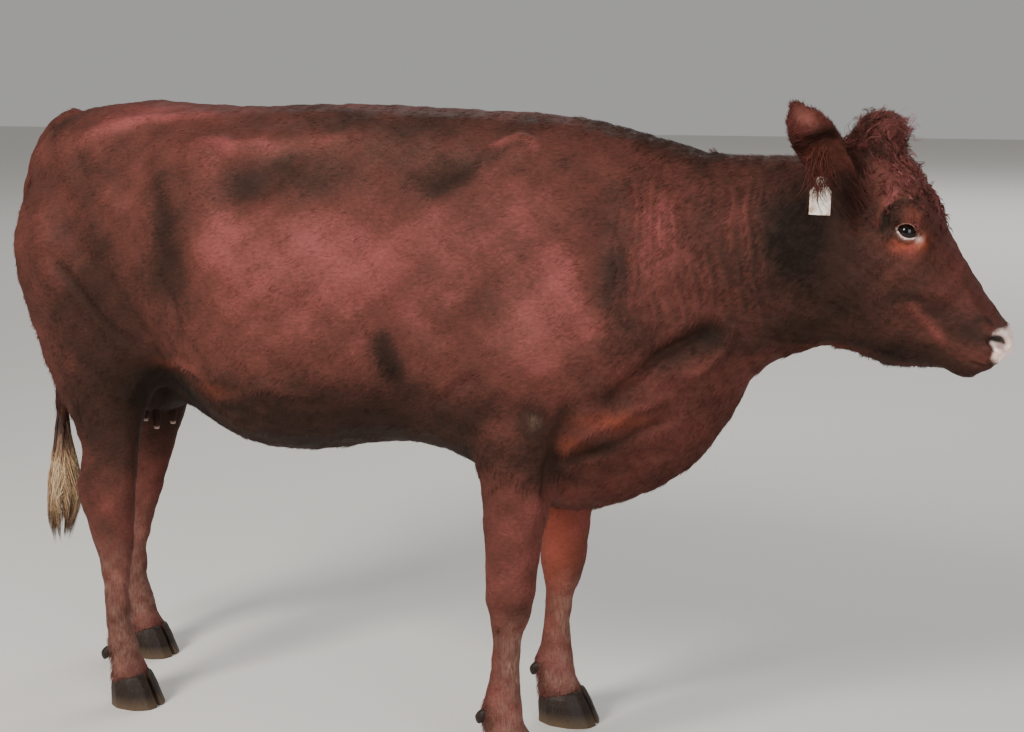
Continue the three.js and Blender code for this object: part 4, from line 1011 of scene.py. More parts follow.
def ear_markings(points, out, ear):
    """Dark outside and rim, a red and pink hollow inside, with a painted shadow of a fold across it and painted shade
    deep in the hollow near the base.
    """
    t, across, _ = ear_place(points, ear)
    opening = np.array(ear["opening"]) / np.linalg.norm(ear["opening"])
    inside = step01(out @ opening, 0.1, 0.5) * (1 - step01(np.abs(across), 0.72, 0.95))
    upper = np.exp(-((t - 0.80) / 0.10) ** 2) * np.exp(-((across + 0.05) / 0.42) ** 2)
    lower = np.exp(-((t - 0.44) / 0.08) ** 2) * np.exp(-((across + 0.30) / 0.22) ** 2)
    fold = np.exp(-((t - 0.62) / 0.055) ** 2)
    return {
        "tone": 0.26 + 0.14 * inside + 0.26 * inside * upper - 0.26 * inside * fold - 0.06 * (1 - step01(t, 0.1, 0.35)),
        "rust": inside * np.clip(0.25 * upper + 0.6 * lower, 0, 1), "dust": np.zeros(len(t)),
        "bare": inside * 0.05 * upper, "hollow": inside * (0.75 * fold + 0.6 * (1 - step01(t, 0.10, 0.30))),
    }


def make_ear(name):
    """An ear: a thin cupped leaf, its base sunk into the hide, soft at the rim."""
    ear = EARS[name]
    mesh = fused([f"ear_{name}"], 0.0024, 0.0002, f"ear_{name}_leaf")
    relax(mesh, 9)
    points = coords(mesh)
    t, across, _ = ear_place(points, ear)
    run = np.array(ear["tip"]) - np.array(ear["base"])
    points -= run * (0.20 * (1 - step01(t, -0.05, 0.25)) + 0.03 * step01(t, 0.5, 1.0))[:, None]
    points -= ear_axes(ear)[1] * (EAR_HALF * 0.12 * (across + 1) * step01(t, 0.15, 0.45))[:, None]
    out = normals(mesh)
    opening = np.array(ear["opening"]) / np.linalg.norm(ear["opening"])
    ridges = 0.0012 * np.sin(across * 9) * np.clip(out @ opening, 0, 1) * (1 - step01(np.abs(across), 0.6, 0.9))
    points += out * (ridges + 0.0008 * waver(points, 0.03))[:, None]
    put(mesh, points)
    marks = ear_markings(coords(mesh), normals(mesh), ear)
    marks["strand"] = np.zeros(len(mesh.vertices))
    mark(mesh, marks)
    piece(mesh, f"ear_{name}_leaf", COAT, "ear_skin", f"ear_{name}")
    return mesh


def ear_hair(name, mesh):
    """Hair of an ear: short all over it, a fringe round the rim, and long hair across the hollow."""
    ear = EARS[name]
    run = unit(np.array([np.array(ear["tip"]) - np.array(ear["base"])]))[0]
    across = np.array(ear["across"]) / np.linalg.norm(ear["across"])
    opening = np.array(ear["opening"]) / np.linalg.norm(ear["opening"])
    wrap = (ear["base"], ear["tip"])
    made = []
    kinds = [
        ("short", 3600, lambda c: 1.0 + 0 * c[:, 0], 0.011, 0.0013, 0.12, 2,
         lambda p, n: unit(run + 0.25 * across * np.sign(ear_place(p, ear)[1])[:, None])),
        ("fringe", 1500, lambda c: step01(np.abs(ear_place(c, ear)[1]) / np.maximum(0.25, 1.02 - ear_place(
            c, ear)[0] ** 4), 0.80, 0.98) + 1.2 * step01(ear_place(c, ear)[0], 0.90, 0.99), 0.009, 0.0008, 0.18, 3,
         lambda p, n: unit(1.0 * run + across * (0.5 * ear_place(p, ear)[1])[:, None] + 0.25 * opening)),
        ("inner", 900, lambda c: step01(-ear_place(c, ear)[1], 0.25, 0.75) * step01(
            ear_place(c, ear)[0], 0.10, 0.20) * (1 - step01(ear_place(c, ear)[0], 0.72, 0.86)), 0.036, 0.0012, 0.42, 4,
         lambda p, n: unit(0.35 * run + 1.0 * across + 0.4 * opening + 0 * n)),
    ]
    for kind, count, density, length, width, lift, steps, way in kinds:
        roots, out = surface_places(mesh, count, density)
        if kind == "inner":
            keep = out @ opening > 0.0
            roots, out = roots[keep], out[keep]
        direction = way(roots, out) + RANDOM.normal(0, 0.16, roots.shape)
        if kind == "short":
            direction -= (direction * out).sum(1)[:, None] * out
        direction = unit(direction)
        lengths = length * RANDOM.uniform(0.55, 1.3, len(roots))
        spine, side = lain_spines(roots, out, direction, lengths, np.full(len(roots), lift), steps, sway=0.22)
        marks = ear_markings(roots, out, ear)
        marks["tone"] = marks["tone"] + {"short": 0.0, "fringe": 0.16, "inner": 0.16}[kind]
        marks["hollow"] = marks["hollow"] * 0.5
        marks["bare"] = marks["bare"] * (kind == "short")
        marks["strand"] = RANDOM.uniform(-0.5, 0.7, len(roots))
        widths = width * RANDOM.uniform(0.7, 1.3, len(roots))
        made.append((strands(f"ear_{name}_{kind}", spine, side, out, widths, unwrapped(roots, *wrap), marks,
                             body_shade=out if kind == "short" else None)))
    for mesh in made:
        piece(mesh, mesh.name, COAT, "coat")


for side_name in SIDES:
    leaf = make_ear(side_name)
    ear_hair(side_name, leaf)

# ---- Eyes ----


def eye_material():
    """The wet ball of a cow's eye: near-black long pupil, dark brown iris and a dull white edge."""
    made, tree, shader = new_material("wet_eyeball")
    away = add(tree, "ShaderNodeAttribute", {"attribute_name": "away"}).outputs["Fac"]
    colour = ramp(tree, away, [(0.0, 0x030202), (0.30, 0x040303), (0.36, 0x180C07), (0.66, 0x120906),
                               (0.80, 0x0A0605), (0.90, 0x7A665A), (1.0, 0xB8A294)])
    tree.links.new(colour, shader.inputs["Base Color"])
    shader.inputs["Roughness"].default_value = 0.05
    shader.inputs["Specular IOR Level"].default_value = 0.30
    return made


def lid_material(name, code):
    """The bare wet edge of an eyelid."""
    made, tree, shader = new_material(name)
    place = add(tree, "ShaderNodeTexCoord").outputs["Object"]
    spots = add(tree, "ShaderNodeTexNoise", Vector=place, Scale=per_metre(6), Detail=2.0).outputs["Fac"]
    colour = blend(tree, spots, rgb(code), rgb(0x8A5A4A))
    tree.links.new(colour, shader.inputs["Base Color"])
    shader.inputs["Roughness"].default_value = 0.22
    return made


def make_eye(side_name, material):
    """An eyeball with a clear bulge before the iris, seated in its socket."""
    side = SIDES[side_name]
    ball = bmesh.new()
    bmesh.ops.create_uvsphere(ball, u_segments=56, v_segments=36, radius=EYE_RADIUS)
    mesh = bpy.data.meshes.new(f"eyeball_{side_name}")
    ball.to_mesh(mesh)
    ball.free()
    forward, up, out = eye_axes(side)
    points = coords(mesh)
    a, b, c = points @ forward, points @ up, points @ out
    flat = np.hypot(a, b)
    bulge = 0.0012 * (1 - step01(flat, 0.006, 0.015)) * (c > 0)
    points += bulge[:, None] * out
    place = np.where(c > 0, np.hypot(a, b), 0.03)
    pupil = np.where(c > 0, np.hypot(a / 1.5, b), 0.03)
    layer = mesh.attributes.new("away", "FLOAT", "POINT")
    layer.data.foreach_set("value", np.where(pupil < 0.0058, pupil / 0.020, np.maximum(place / 0.020, 0.34)
                                             ).astype(np.float32))
    put(mesh, points + eye_centre(side))
    piece(mesh, f"eyeball_{side_name}", material, "eye", f"eye_{side_name}")


def tube(name, line, radii, sides=8):
    """A closed tube along a line, its radius given at each place of the line."""
    made = bmesh.new()
    loops = []
    for i, (at, radius) in enumerate(zip(line, radii)):
        along_line = Vector(line[min(i + 1, len(line) - 1)]) - Vector(line[max(i - 1, 0)])
        turn = along_line.to_track_quat("Z", "Y").to_matrix().to_4x4()
        ring = bmesh.ops.create_circle(made, segments=sides, radius=radius,
                                       matrix=Matrix.Translation(Vector(at)) @ turn, cap_ends=False)["verts"]
        loops.append([edge for edge in made.edges if edge.verts[0] in ring and edge.verts[1] in ring])
    for first, second in zip(loops, loops[1:]):
        bmesh.ops.bridge_loops(made, edges=first + second)
    bmesh.ops.holes_fill(made, edges=[edge for edge in made.edges if edge.is_boundary])
    bmesh.ops.recalc_face_normals(made, faces=made.faces)
    mesh = bpy.data.meshes.new(name)
    made.to_mesh(mesh)
    made.free()
    return mesh


def lid_line(side, upper, lift, count=25):
    """Places along the edge of a lid, on the eyeball."""
    forward, up, out = eye_axes(side)
    a = np.linspace(-LID_LENGTH, LID_LENGTH, count)
    half = LID_UP if upper else -LID_DOWN
    b = half * (1 - np.abs(a / LID_LENGTH) ** 2.2)
    c = np.sqrt(np.maximum((EYE_RADIUS + lift) ** 2 - a * a - b * b, 0.000016))
    return eye_centre(side) + a[:, None] * forward + b[:, None] * up + c[:, None] * out


def make_lids(side_name, upper_material, lower_material):
    """The moist edges of both lids, and the lashes of the upper one."""
    side = SIDES[side_name]
    forward, up, out = eye_axes(side)
    for upper, material in ((True, upper_material), (False, lower_material)):
        line = lid_line(side, upper, 0.0010)[0 if upper else 3:]
        t = np.linspace(-1, 1, len(line))
        radii = (0.0011 if upper else 0.0013) * (0.55 + 0.45 * (1 - t ** 4))
        name = f"lid_edge_{'upper' if upper else 'lower'}_{side_name}"
        piece(tube(name, [tuple(p) for p in line], radii), name, material, "coat")
    count = 56
    line = lid_line(side, True, 0.0022, count)
    t = np.linspace(-1, 1, count)
    way = unit(0.75 * out + 0.55 * forward * t[:, None] - 0.30 * up + RANDOM.normal(0, 0.10, (count, 3)))
    lengths = 0.016 * (1 - 0.5 * t ** 2) * RANDOM.uniform(0.7, 1.15, count)
    rise = np.linspace(0, 1, 5)[None, :, None]
    spines = line[:, None] + lengths[:, None, None] * (way[:, None] * rise + 0.35 * up * rise ** 2)
    across = unit(np.cross(way, up))
    marks = {"tone": np.full(count, 0.12), "rust": np.zeros(count), "dust": np.zeros(count),
             "bare": np.zeros(count), "hollow": np.zeros(count), "strand": np.zeros(count)}
    lashes = strands(f"lashes_{side_name}", spines, across, unit(np.cross(across, way)), np.full(count, 0.0008),
                     unwrapped(line, *HEAD_WRAP), marks)
    piece(lashes, f"lashes_{side_name}", COAT, "coat")


EYE_LOOK = eye_material()
UPPER_LID = lid_material("pink_upper_lid_edge", 0xB98270)
LOWER_LID = lid_material("pale_lower_lid_edge", 0xF0DDD2)
for side_name in SIDES:
    make_eye(side_name, EYE_LOOK)
    make_lids(side_name, UPPER_LID, LOWER_LID)

# ---- Hooves, dewclaws and teats ----


def horn_material():
    """Hoof horn: dark grey-brown, with level growth rings, fine upright grain and dried mud at the foot."""
    made, tree, shader = new_material("dark_hoof_horn")
    place = add(tree, "ShaderNodeTexCoord").outputs["Object"]
    parts = add(tree, "ShaderNodeSeparateXYZ", Vector=place)
    warp = add(tree, "ShaderNodeTexNoise", Vector=place, Scale=per_metre(40), Detail=2.0).outputs["Fac"]
    level = add(tree, "ShaderNodeMath", {"operation": "MULTIPLY_ADD"}, in0=warp, in1=0.012, in2=parts.outputs["Z"])
    rings = add(tree, "ShaderNodeMath", {"operation": "SINE"},
                in0=add(tree, "ShaderNodeMath", {"operation": "MULTIPLY"}, in0=level.outputs[0],
                        in1=2 * math.pi * per_metre(4)).outputs[0]).outputs[0]
    grain_way = add(tree, "ShaderNodeMapping", Vector=place, Scale=(1, 1, 0.12)).outputs["Vector"]
    grain = add(tree, "ShaderNodeTexNoise", Vector=grain_way, Scale=per_metre(2.5), Detail=3.0).outputs["Fac"]
    colour = ramp(tree, grain, [(0.25, 0x17110D), (0.55, 0x281D17), (0.85, 0x3F3027)])
    mud = add(tree, "ShaderNodeMapRange", Value=parts.outputs["Z"], From_Min=0.0, From_Max=0.030, To_Min=0.55,
              To_Max=0.0)
    colour = blend(tree, mud.outputs["Result"], colour, rgb(0x6E5A45))
    tree.links.new(colour, shader.inputs["Base Color"])
    shader.inputs["Roughness"].default_value = 0.5
    shader.inputs["Specular IOR Level"].default_value = 0.22
    height = add(tree, "ShaderNodeMath", {"operation": "MULTIPLY_ADD"}, in0=rings, in1=0.22, in2=grain).outputs[0]
    relief = add(tree, "ShaderNodeBump", Strength=0.5, Distance=0.0008, Height=height)
    tree.links.new(relief.outputs["Normal"], shader.inputs["Normal"])
    return made


def claw(node):
    """One claw, its wall smoothed in plan as if it ran on below the floor, then cut level there."""
    made = bmesh.new()
    made.from_mesh(NODES[node].data)
    bmesh.ops.remove_doubles(made, verts=made.verts, dist=1e-5)
    low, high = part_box(node)
    below = bmesh.ops.duplicate(made, geom=made.verts[:] + made.edges[:] + made.faces[:])["geom"]
    for part in below:
        if isinstance(part, bmesh.types.BMVert):
            part.co.z = CLAW_OVERLAP - part.co.z
    bmesh.ops.reverse_faces(made, faces=[part for part in below if isinstance(part, bmesh.types.BMFace)])
    mesh = evenly(made, CLAW_GRAIN, "claw")
    points = coords(mesh)
    pairs = pairs_of(mesh)
    count = np.maximum(np.bincount(pairs.ravel(), minlength=len(points)), 1)
    for _ in range(CLAW_ROUNDS):
        for k in (0, 1):
            total = np.bincount(pairs[:, 0], points[pairs[:, 1], k], len(points)) + np.bincount(
                pairs[:, 1], points[pairs[:, 0], k], len(points))
            points[:, k] += 0.5 * (total / count - points[:, k])
    for k in (0, 1):
        middle = (points[:, k].min() + points[:, k].max()) / 2
        points[:, k] = (low[k] + high[k]) / 2 + (points[:, k] - middle) * (high[k] - low[k]) / np.ptp(points[:, k])
    middle = points.mean(0)
    inward = 1 - 0.09 * step01(points[:, 2], 0.038, 0.066)
    points[:, :2] = middle[:2] + (points[:, :2] - middle[:2]) * inward[:, None]
    points[:, 2] += 0.009 * step01(points[:, 2], 0.030, 0.062)
    put(mesh, points)
    made = bmesh.new()
    made.from_mesh(mesh)
    bpy.data.meshes.remove(mesh)
    bmesh.ops.bisect_plane(made, geom=made.verts[:] + made.edges[:] + made.faces[:], plane_co=(0, 0, 0),
                           plane_no=(0, 0, 1), clear_inner=True)
    bmesh.ops.holes_fill(made, edges=[edge for edge in made.edges if edge.is_boundary])
    bmesh.ops.recalc_face_normals(made, faces=made.faces)
    mesh = bpy.data.meshes.new("claw")
    made.to_mesh(mesh)
    made.free()
    return mesh


def make_hoof(leg, material):
    """The two claws of a hoof: rounded horn, flat underneath, the top tucked up into the hide."""
    both = bmesh.new()
    for which in ("outer", "inner"):
        mesh = claw(f"{leg}_claw_{which}")
        both.from_mesh(mesh)
        bpy.data.meshes.remove(mesh)
    mesh = bpy.data.meshes.new(f"hoof_{leg}")
    both.to_mesh(mesh)
    both.free()
    piece(mesh, f"hoof_{leg}", material, "hoof", f"{leg}_claw_outer", f"{leg}_claw_inner")


CLAW_OVERLAP, CLAW_GRAIN, CLAW_ROUNDS = 0.004, 0.0022, 34
HORN = horn_material()
for leg in LEGS:
    make_hoof(leg, HORN)
dew_nodes = [f"{leg}_dewclaw_{which}" for leg in LEGS for which in ("outer", "inner")]


def make_dewclaws():
    """Small blunt horns that lie against the back of each fetlock, pointing down."""
    both = bmesh.new()
    for node in dew_nodes:
        low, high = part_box(node)
        horn = bmesh.new()
        bmesh.ops.create_uvsphere(horn, u_segments=20, v_segments=14, radius=1.0)
        for vert in horn.verts:
            x, y, z = vert.co
            slim = 1 - 0.35 * max(0.0, -z)
            vert.co = Vector((x * 0.0135 * slim + 0.006 * z, y * 0.0100 * slim, z * 0.0165))
        centre = (low + high) / 2
        bmesh.ops.translate(horn, verts=horn.verts, vec=(centre.x + 0.0035, centre.y, centre.z - 0.003))
        held = bpy.data.meshes.new("held")
        horn.to_mesh(held)
        horn.free()
        both.from_mesh(held)
        bpy.data.meshes.remove(held)
    mesh = bpy.data.meshes.new("dewclaws")
    both.to_mesh(mesh)
    both.free()
    return mesh


dewclaws = make_dewclaws()
piece(dewclaws, "dewclaws", HORN, "hoof", *dew_nodes)

teat_nodes = [f"teat_{place}_{name}" for place in ("fore", "rear") for name in SIDES]
teats = fused(teat_nodes, 0.0018, 0.0, "teats")
relax(teats, 6)
points = coords(teats)
points[:, 2] += 0.012 * step01(points[:, 2], 0.640, 0.655)
put(teats, points)
bare_skin = {name: np.zeros(len(points)) for name in ("tone", "rust", "dust", "hollow", "strand")}
bare_skin["tone"] = np.full(len(points), 0.25)
bare_skin["bare"] = 0.60 * (1 - step01(points[:, 2], 0.607, 0.618))
# Painted shade: the teats are darkened above their pale bare tips.
bare_skin["hollow"] = 0.4 * step01(points[:, 2], 0.615, 0.640)
mark(teats, bare_skin)
piece(teats, "teats", COAT, "teat", *teat_nodes)

# ---- Tag ----


def tag_material():
    """Moulded polyurethane: off-white, satin, a little yellowed and grubby from the hair."""
    made, tree, shader = new_material("moulded_polyurethane_tag")
    place = add(tree, "ShaderNodeTexCoord").outputs["Object"]
    grime = add(tree, "ShaderNodeTexNoise", Vector=place, Scale=per_metre(14), Detail=4.0, Roughness=0.6).outputs["Fac"]
    colour = ramp(tree, grime, [(0.32, 0xA98572), (0.46, 0xD8C6B6), (0.62, 0xEFE6DC)])
    tree.links.new(colour, shader.inputs["Base Color"])
    shader.inputs["Roughness"].default_value = 0.42
    scuffs = add(tree, "ShaderNodeTexNoise", Vector=place, Scale=per_metre(1.5), Detail=2.0)
    relief = add(tree, "ShaderNodeBump", Strength=0.15, Distance=0.0004, Height=scuffs.outputs["Fac"])
    tree.links.new(relief.outputs["Normal"], shader.inputs["Normal"])
    return made


def rounded_copy(node, name, width):
    """A copy of a hard part with its sharp edges rounded."""
    made = bmesh.new()
    made.from_mesh(NODES[node].data)
    bmesh.ops.remove_doubles(made, verts=made.verts, dist=1e-5)
    bmesh.ops.dissolve_limit(made, angle_limit=math.radians(3), verts=made.verts, edges=made.edges)
    sharp = [edge for edge in made.edges if edge.calc_face_angle(0.0) > math.radians(35)]
    bmesh.ops.bevel(made, geom=sharp, offset=width, segments=2, profile=0.5, affect="EDGES", material=-1,
                    clamp_overlap=True)
    mesh = bpy.data.meshes.new(name)
    made.to_mesh(mesh)
    made.free()
    return mesh


TAG_PLASTIC = tag_material()
TAG_PIN = Vector((0.804, -0.176, 1.214))
TAG_TILT = math.radians(3)       # the tag hangs a little askew
TAG_SHIFT = Vector((0.004, 0.0, 0.0))
for node, name, width in (("ear_tag", "tag_plate", 0.0007), ("ear_tag_stud", "tag_stud", 0.0006)):
    mesh = rounded_copy(node, name, width)
    mesh.transform(Matrix.Translation(TAG_PIN + TAG_SHIFT) @ Matrix.Rotation(TAG_TILT, 4, "Y") @ Matrix.Translation(-TAG_PIN))
    piece(mesh, name, TAG_PLASTIC, "tag", node)
    bpy.data.objects[name].data.polygons.foreach_set(
        "use_smooth", np.zeros(len(bpy.data.objects[name].data.polygons), bool))

# ---- Tail switch ----


def switch_material():
    """Long coarse tail hair, cream to straw, browner at its roots, dull and dusty."""
    made, tree, shader = new_material("cream_tail_hair")
    tone = add(tree, "ShaderNodeAttribute", {"attribute_name": "tone"}).outputs["Fac"]
    place = add(tree, "ShaderNodeTexCoord").outputs["Object"]
    fine_way = add(tree, "ShaderNodeMapping", Vector=place, Scale=(1, 1, 0.15)).outputs["Vector"]
    fine = add(tree, "ShaderNodeTexNoise", Vector=fine_way, Scale=per_metre(4), Detail=3.0).outputs["Fac"]
    height = add(tree, "ShaderNodeSeparateXYZ", Vector=place).outputs["Z"]
    roots = add(tree, "ShaderNodeMapRange", Value=height, From_Min=0.50, From_Max=0.60, To_Min=0.0, To_Max=0.85)
    ends = add(tree, "ShaderNodeMapRange", Value=height, From_Min=0.32, From_Max=0.43, To_Min=0.46, To_Max=0.0)
    mixed = add(tree, "ShaderNodeMath", {"operation": "MULTIPLY_ADD"}, in0=fine, in1=0.4, in2=tone).outputs[0]
    for shade in (roots, ends):
        mixed = add(tree, "ShaderNodeMath", {"operation": "SUBTRACT"}, in0=mixed,
                    in1=shade.outputs["Result"]).outputs[0]
    colour = ramp(tree, mixed, [(0.0, 0x3A231D), (0.20, 0x54382A), (0.42, 0x8E6E54), (0.66, 0xC2A27C), (0.95, 0xEAD8B8)])
    tree.links.new(colour, shader.inputs["Base Color"])
    shader.inputs["Roughness"].default_value = 0.6
    return made


SWITCH_AXIS_X = -1.029
SWITCH_TOP, SWITCH_END = 0.553, 0.290


def tail_axis(z):
    """How far back the middle of the tail lies at each height."""
    points = coords(hide_mesh)
    heights = np.linspace(0.56, 0.68, 7)
    behind = points[(points[:, 0] < -0.995) & (points[:, 2] < 0.72)]
    middles = []
    for height in heights:
        ring = behind[np.abs(behind[:, 2] - height) < 0.012]
        middles.append((ring[:, 0].min() + ring[:, 0].max()) / 2)
    return np.interp(z, heights, middles) * step01(z, 0.553, 0.57) + SWITCH_AXIS_X * (1 - step01(z, 0.553, 0.57))


def make_switch():
    """The switch: a slim core of hair under many long locks that swell out and end in ragged points."""
    look = switch_material()
    core = fused(["tail_switch"], 0.005, 0.0, "switch_core")
    relax(core, 6)
    points = coords(core)
    points[:, 0] = SWITCH_AXIS_X + (points[:, 0] - SWITCH_AXIS_X) * 0.55
    points[:, 1] *= 0.55
    points[:, 2] = np.maximum(points[:, 2], 0.400)
    points[:, 2] += 0.010 * step01(points[:, 2], 0.53, 0.553)
    put(core, points)
    mark(core, {"tone": 0.12 + 0.2 * waver(points, 0.03)})
    piece(core, "switch_core", look, "switch_hair", "tail_switch")
    count, steps, bunches = 2400, 6, 15
    top = RANDOM.triangular(0.42, 0.58, 0.645, count)
    turn = RANDOM.uniform(0, 2 * math.pi, count)
    bunch = np.round(turn / (2 * math.pi) * bunches + RANDOM.normal(0, 0.25, count)).astype(int) % bunches
    t = np.linspace(0, 1, steps + 1)[None, :]
    end = RANDOM.triangular(0.296, 0.325, 0.44, count) + RANDOM.uniform(-0.008, 0.034, bunches)[bunch]
    end = np.minimum(top - 0.05, end)
    z = top[:, None] + (end - top)[:, None] * t
    swell = np.interp(z.ravel(), [0.29, 0.33, 0.38, 0.44, 0.50, 0.555, 0.60, 0.64],
                      [0.016, 0.025, 0.035, 0.039, 0.028, 0.0170, 0.0125, 0.0085]).reshape(z.shape)
    shell = RANDOM.uniform(0.60, 1.05, count)[:, None]
    shell = shell + (1 - shell) * step01(z, 0.50, 0.55)
    centre = bunch * 2 * math.pi / bunches
    gather = ((centre - turn + math.pi) % (2 * math.pi) - math.pi)[:, None] * t ** 1.3 * 0.75
    angle = turn[:, None] + gather + 0.26 * np.sin(4.5 * t + centre[:, None] * 3)
    wave = 0.0034 * np.sin(10 * t + centre[:, None] * 5)
    drift = -0.016 * step01(0.44 - z, 0.0, 0.13)
    x = tail_axis(z) + drift + (swell * shell + wave) * np.cos(angle)
    y = (swell * shell + wave) * np.sin(angle)
    spines = np.stack([x, y, z], 2)
    out = np.stack([np.cos(turn), np.sin(turn), np.zeros(count)], 1)
    across = np.stack([-np.sin(turn), np.cos(turn), np.zeros(count)], 1)
    tone = 0.42 + RANDOM.normal(0, 0.16, bunches)[bunch] + RANDOM.normal(0, 0.10, count)
    roots = spines[:, 0]
    uv = np.stack([np.clip((roots[:, 2] - 0.39) / 0.26, 0.01, 0.99), turn / (2 * math.pi) * 0.98 + 0.01], 1)
    made = strands("switch_locks", spines, across, out, RANDOM.uniform(0.0010, 0.0022, count), uv,
                   {"tone": np.clip(tone, 0.05, 1)}, thickness=0.5, blunt=0.45)
    piece(made, "switch_locks", look, "switch_hair")


make_switch()

# ---- Long and curly hair ----

NO_MARKS = ("tone", "rust", "dust", "bare", "hollow")


def locks(name, roots, out, way, per, length, width, curl, turns, lift, steps, wrap, tone, spread=0.005, slot="coat"):
    """Curly locks: each root carries several hairs that follow one winding line and draw together at its end."""
    count = len(roots)
    across = unit(np.cross(out, way))
    t = np.linspace(0, 1, steps + 1)[None, :, None]
    lengths = (length * RANDOM.uniform(0.55, 1.3, count))[:, None, None]
    wound = 2 * math.pi * RANDOM.uniform(0.6, 1.3, count)[:, None, None] * turns * t + RANDOM.uniform(
        0, 2 * math.pi, count)[:, None, None]
    reach = curl * np.minimum(t * 3, 1) * RANDOM.uniform(0.5, 1.3, count)[:, None, None]
    rise = (lift * RANDOM.uniform(0.5, 1.4, count))[:, None, None]
    guide = roots[:, None] - out[:, None] * 0.0015 + lengths * (way[:, None] * t + out[:, None] * rise * np.sqrt(t))
    guide = guide + across[:, None] * reach * np.cos(wound) + out[:, None] * reach * 0.6 * (1 + np.sin(wound))
    apart = RANDOM.normal(0, spread, (count, per, 3))
    apart -= (apart * out[:, None]).sum(2)[:, :, None] * out[:, None] * 0.8
    loose = RANDOM.normal(0, 0.25, (count, per, 1, 1)) * curl * np.sin(math.pi * t[None])
    spines = guide[:, None] + apart[:, :, None] * (1 - 0.75 * t[None]) + across[:, None, None] * loose
    spines = spines.reshape(count * per, steps + 1, 3)
    many = [np.repeat(values, per, 0) for values in (roots, across, out)]
    marks = {key: np.repeat(value, per) for key, value in markings(roots).items()}
    marks["tone"] = marks["tone"] + tone + np.repeat(RANDOM.normal(0, 0.11, count), per)
    marks["hollow"] = marks["hollow"] * 0
    marks["bare"] = marks["bare"] * 0
    marks["strand"] = RANDOM.uniform(-0.5, 0.8, count * per)
    made = strands(name, spines, many[1], many[2], width * RANDOM.uniform(0.6, 1.3, count * per),
                   unwrapped(many[0], *wrap), marks, thickness=0.6)
    piece(made, name, COAT, slot)


def tousled(points, out, way, loose):
    """A direction along the hide, roughly one way."""
    way = way + RANDOM.normal(0, loose, points.shape)
    return unit(way - 0.6 * (way * out).sum(1)[:, None] * out)


def poll_area(c):
    """1 over the poll and its two shoulders."""
    return near(c, (0.862, 0.0, 1.290), (0.056, 0.064, 0.045)) * (c[:, 2] > 1.232)


def forehead_area(c):
    """1 from the poll down the forehead to between the eyes."""
    return near(c, (0.930, 0.0, 1.205), (0.055, 0.085, 0.070)) * (c[:, 2] > 1.11) * (c[:, 0] > 0.84) * open_face(c)


roots, out = surface_places(hide_mesh, 400, poll_area)
way = tousled(roots, out, np.stack([0.35 + 6 * (roots[:, 0] - 0.872), 6 * roots[:, 1], np.full(len(roots), -0.1)], 1),
              0.45)
locks("poll_curls", roots, out, way, 12, 0.022, 0.0011, 0.0040, 1.0, 0.22, 6, HEAD_WRAP, 0.09, 0.0060)
roots, out = surface_places(hide_mesh, 44, lambda c: poll_area(c) * (c[:, 2] > 1.270))
way = tousled(roots, out, np.array((0.60, 0.0, 0.20)) + 0 * roots, 0.40)
locks("poll_wisps", roots, out, way, 4, 0.040, 0.0008, 0.0075, 0.9, 0.24, 8, HEAD_WRAP, 0.34, 0.004)
roots, out = surface_places(hide_mesh, 420, forehead_area)
way = tousled(roots, out, lie_of_hair(roots, out), 0.45)
locks("forehead_curls", roots, out, way, 6, 0.019, 0.0013, 0.0034, 1.0, 0.14, 5, HEAD_WRAP, 0.08, 0.0025)
spike = np.array([(0.562, 0.0, 1.0)])
near_spike = coords(hide_mesh)
near_spike = near_spike[np.argmax(near_spike[:, 2] - 8 * np.abs(near_spike[:, 0] - 0.562) - 8 * np.abs(near_spike[:, 1]))]
roots = near_spike + RANDOM.normal(0, 0.004, (5, 3)) * np.array((1, 1, 0.2))
out = np.tile((0.0, 0.0, 1.0), (5, 1))
locks("crest_spike", roots, out, unit(np.array((-0.5, 0.0, 0.1)) + RANDOM.normal(0, 0.1, (5, 3))), 9, 0.013, 0.0011,
      0.0012, 0.5, 0.8, 4, NECK_WRAP, 0.05, 0.003)


def crest_area(c):
    """1 along the top of the neck and the withers."""
    return np.exp(-(c[:, 1] / 0.022) ** 2) * step01(c[:, 0], 0.25, 0.36) * (
        1 - step01(c[:, 0], 0.84, 0.90)) * (c[:, 2] > 1.1)


def ear_base_area(c):
    """1 round the bases of the ears."""
    return sum(near(c, EARS[name]["base"], (0.030, 0.034, 0.034)) for name in SIDES)


def ear_base_way(p, n):
    """Hair round an ear's base runs up on to the ear."""
    runs = [np.array(EARS[name]["tip"]) - np.array(EARS[name]["base"]) for name in ("right", "left")]
    return unit(np.where(p[:, 1:2] < 0, runs[0], runs[1]) + 0.3 * 0.1 * n)


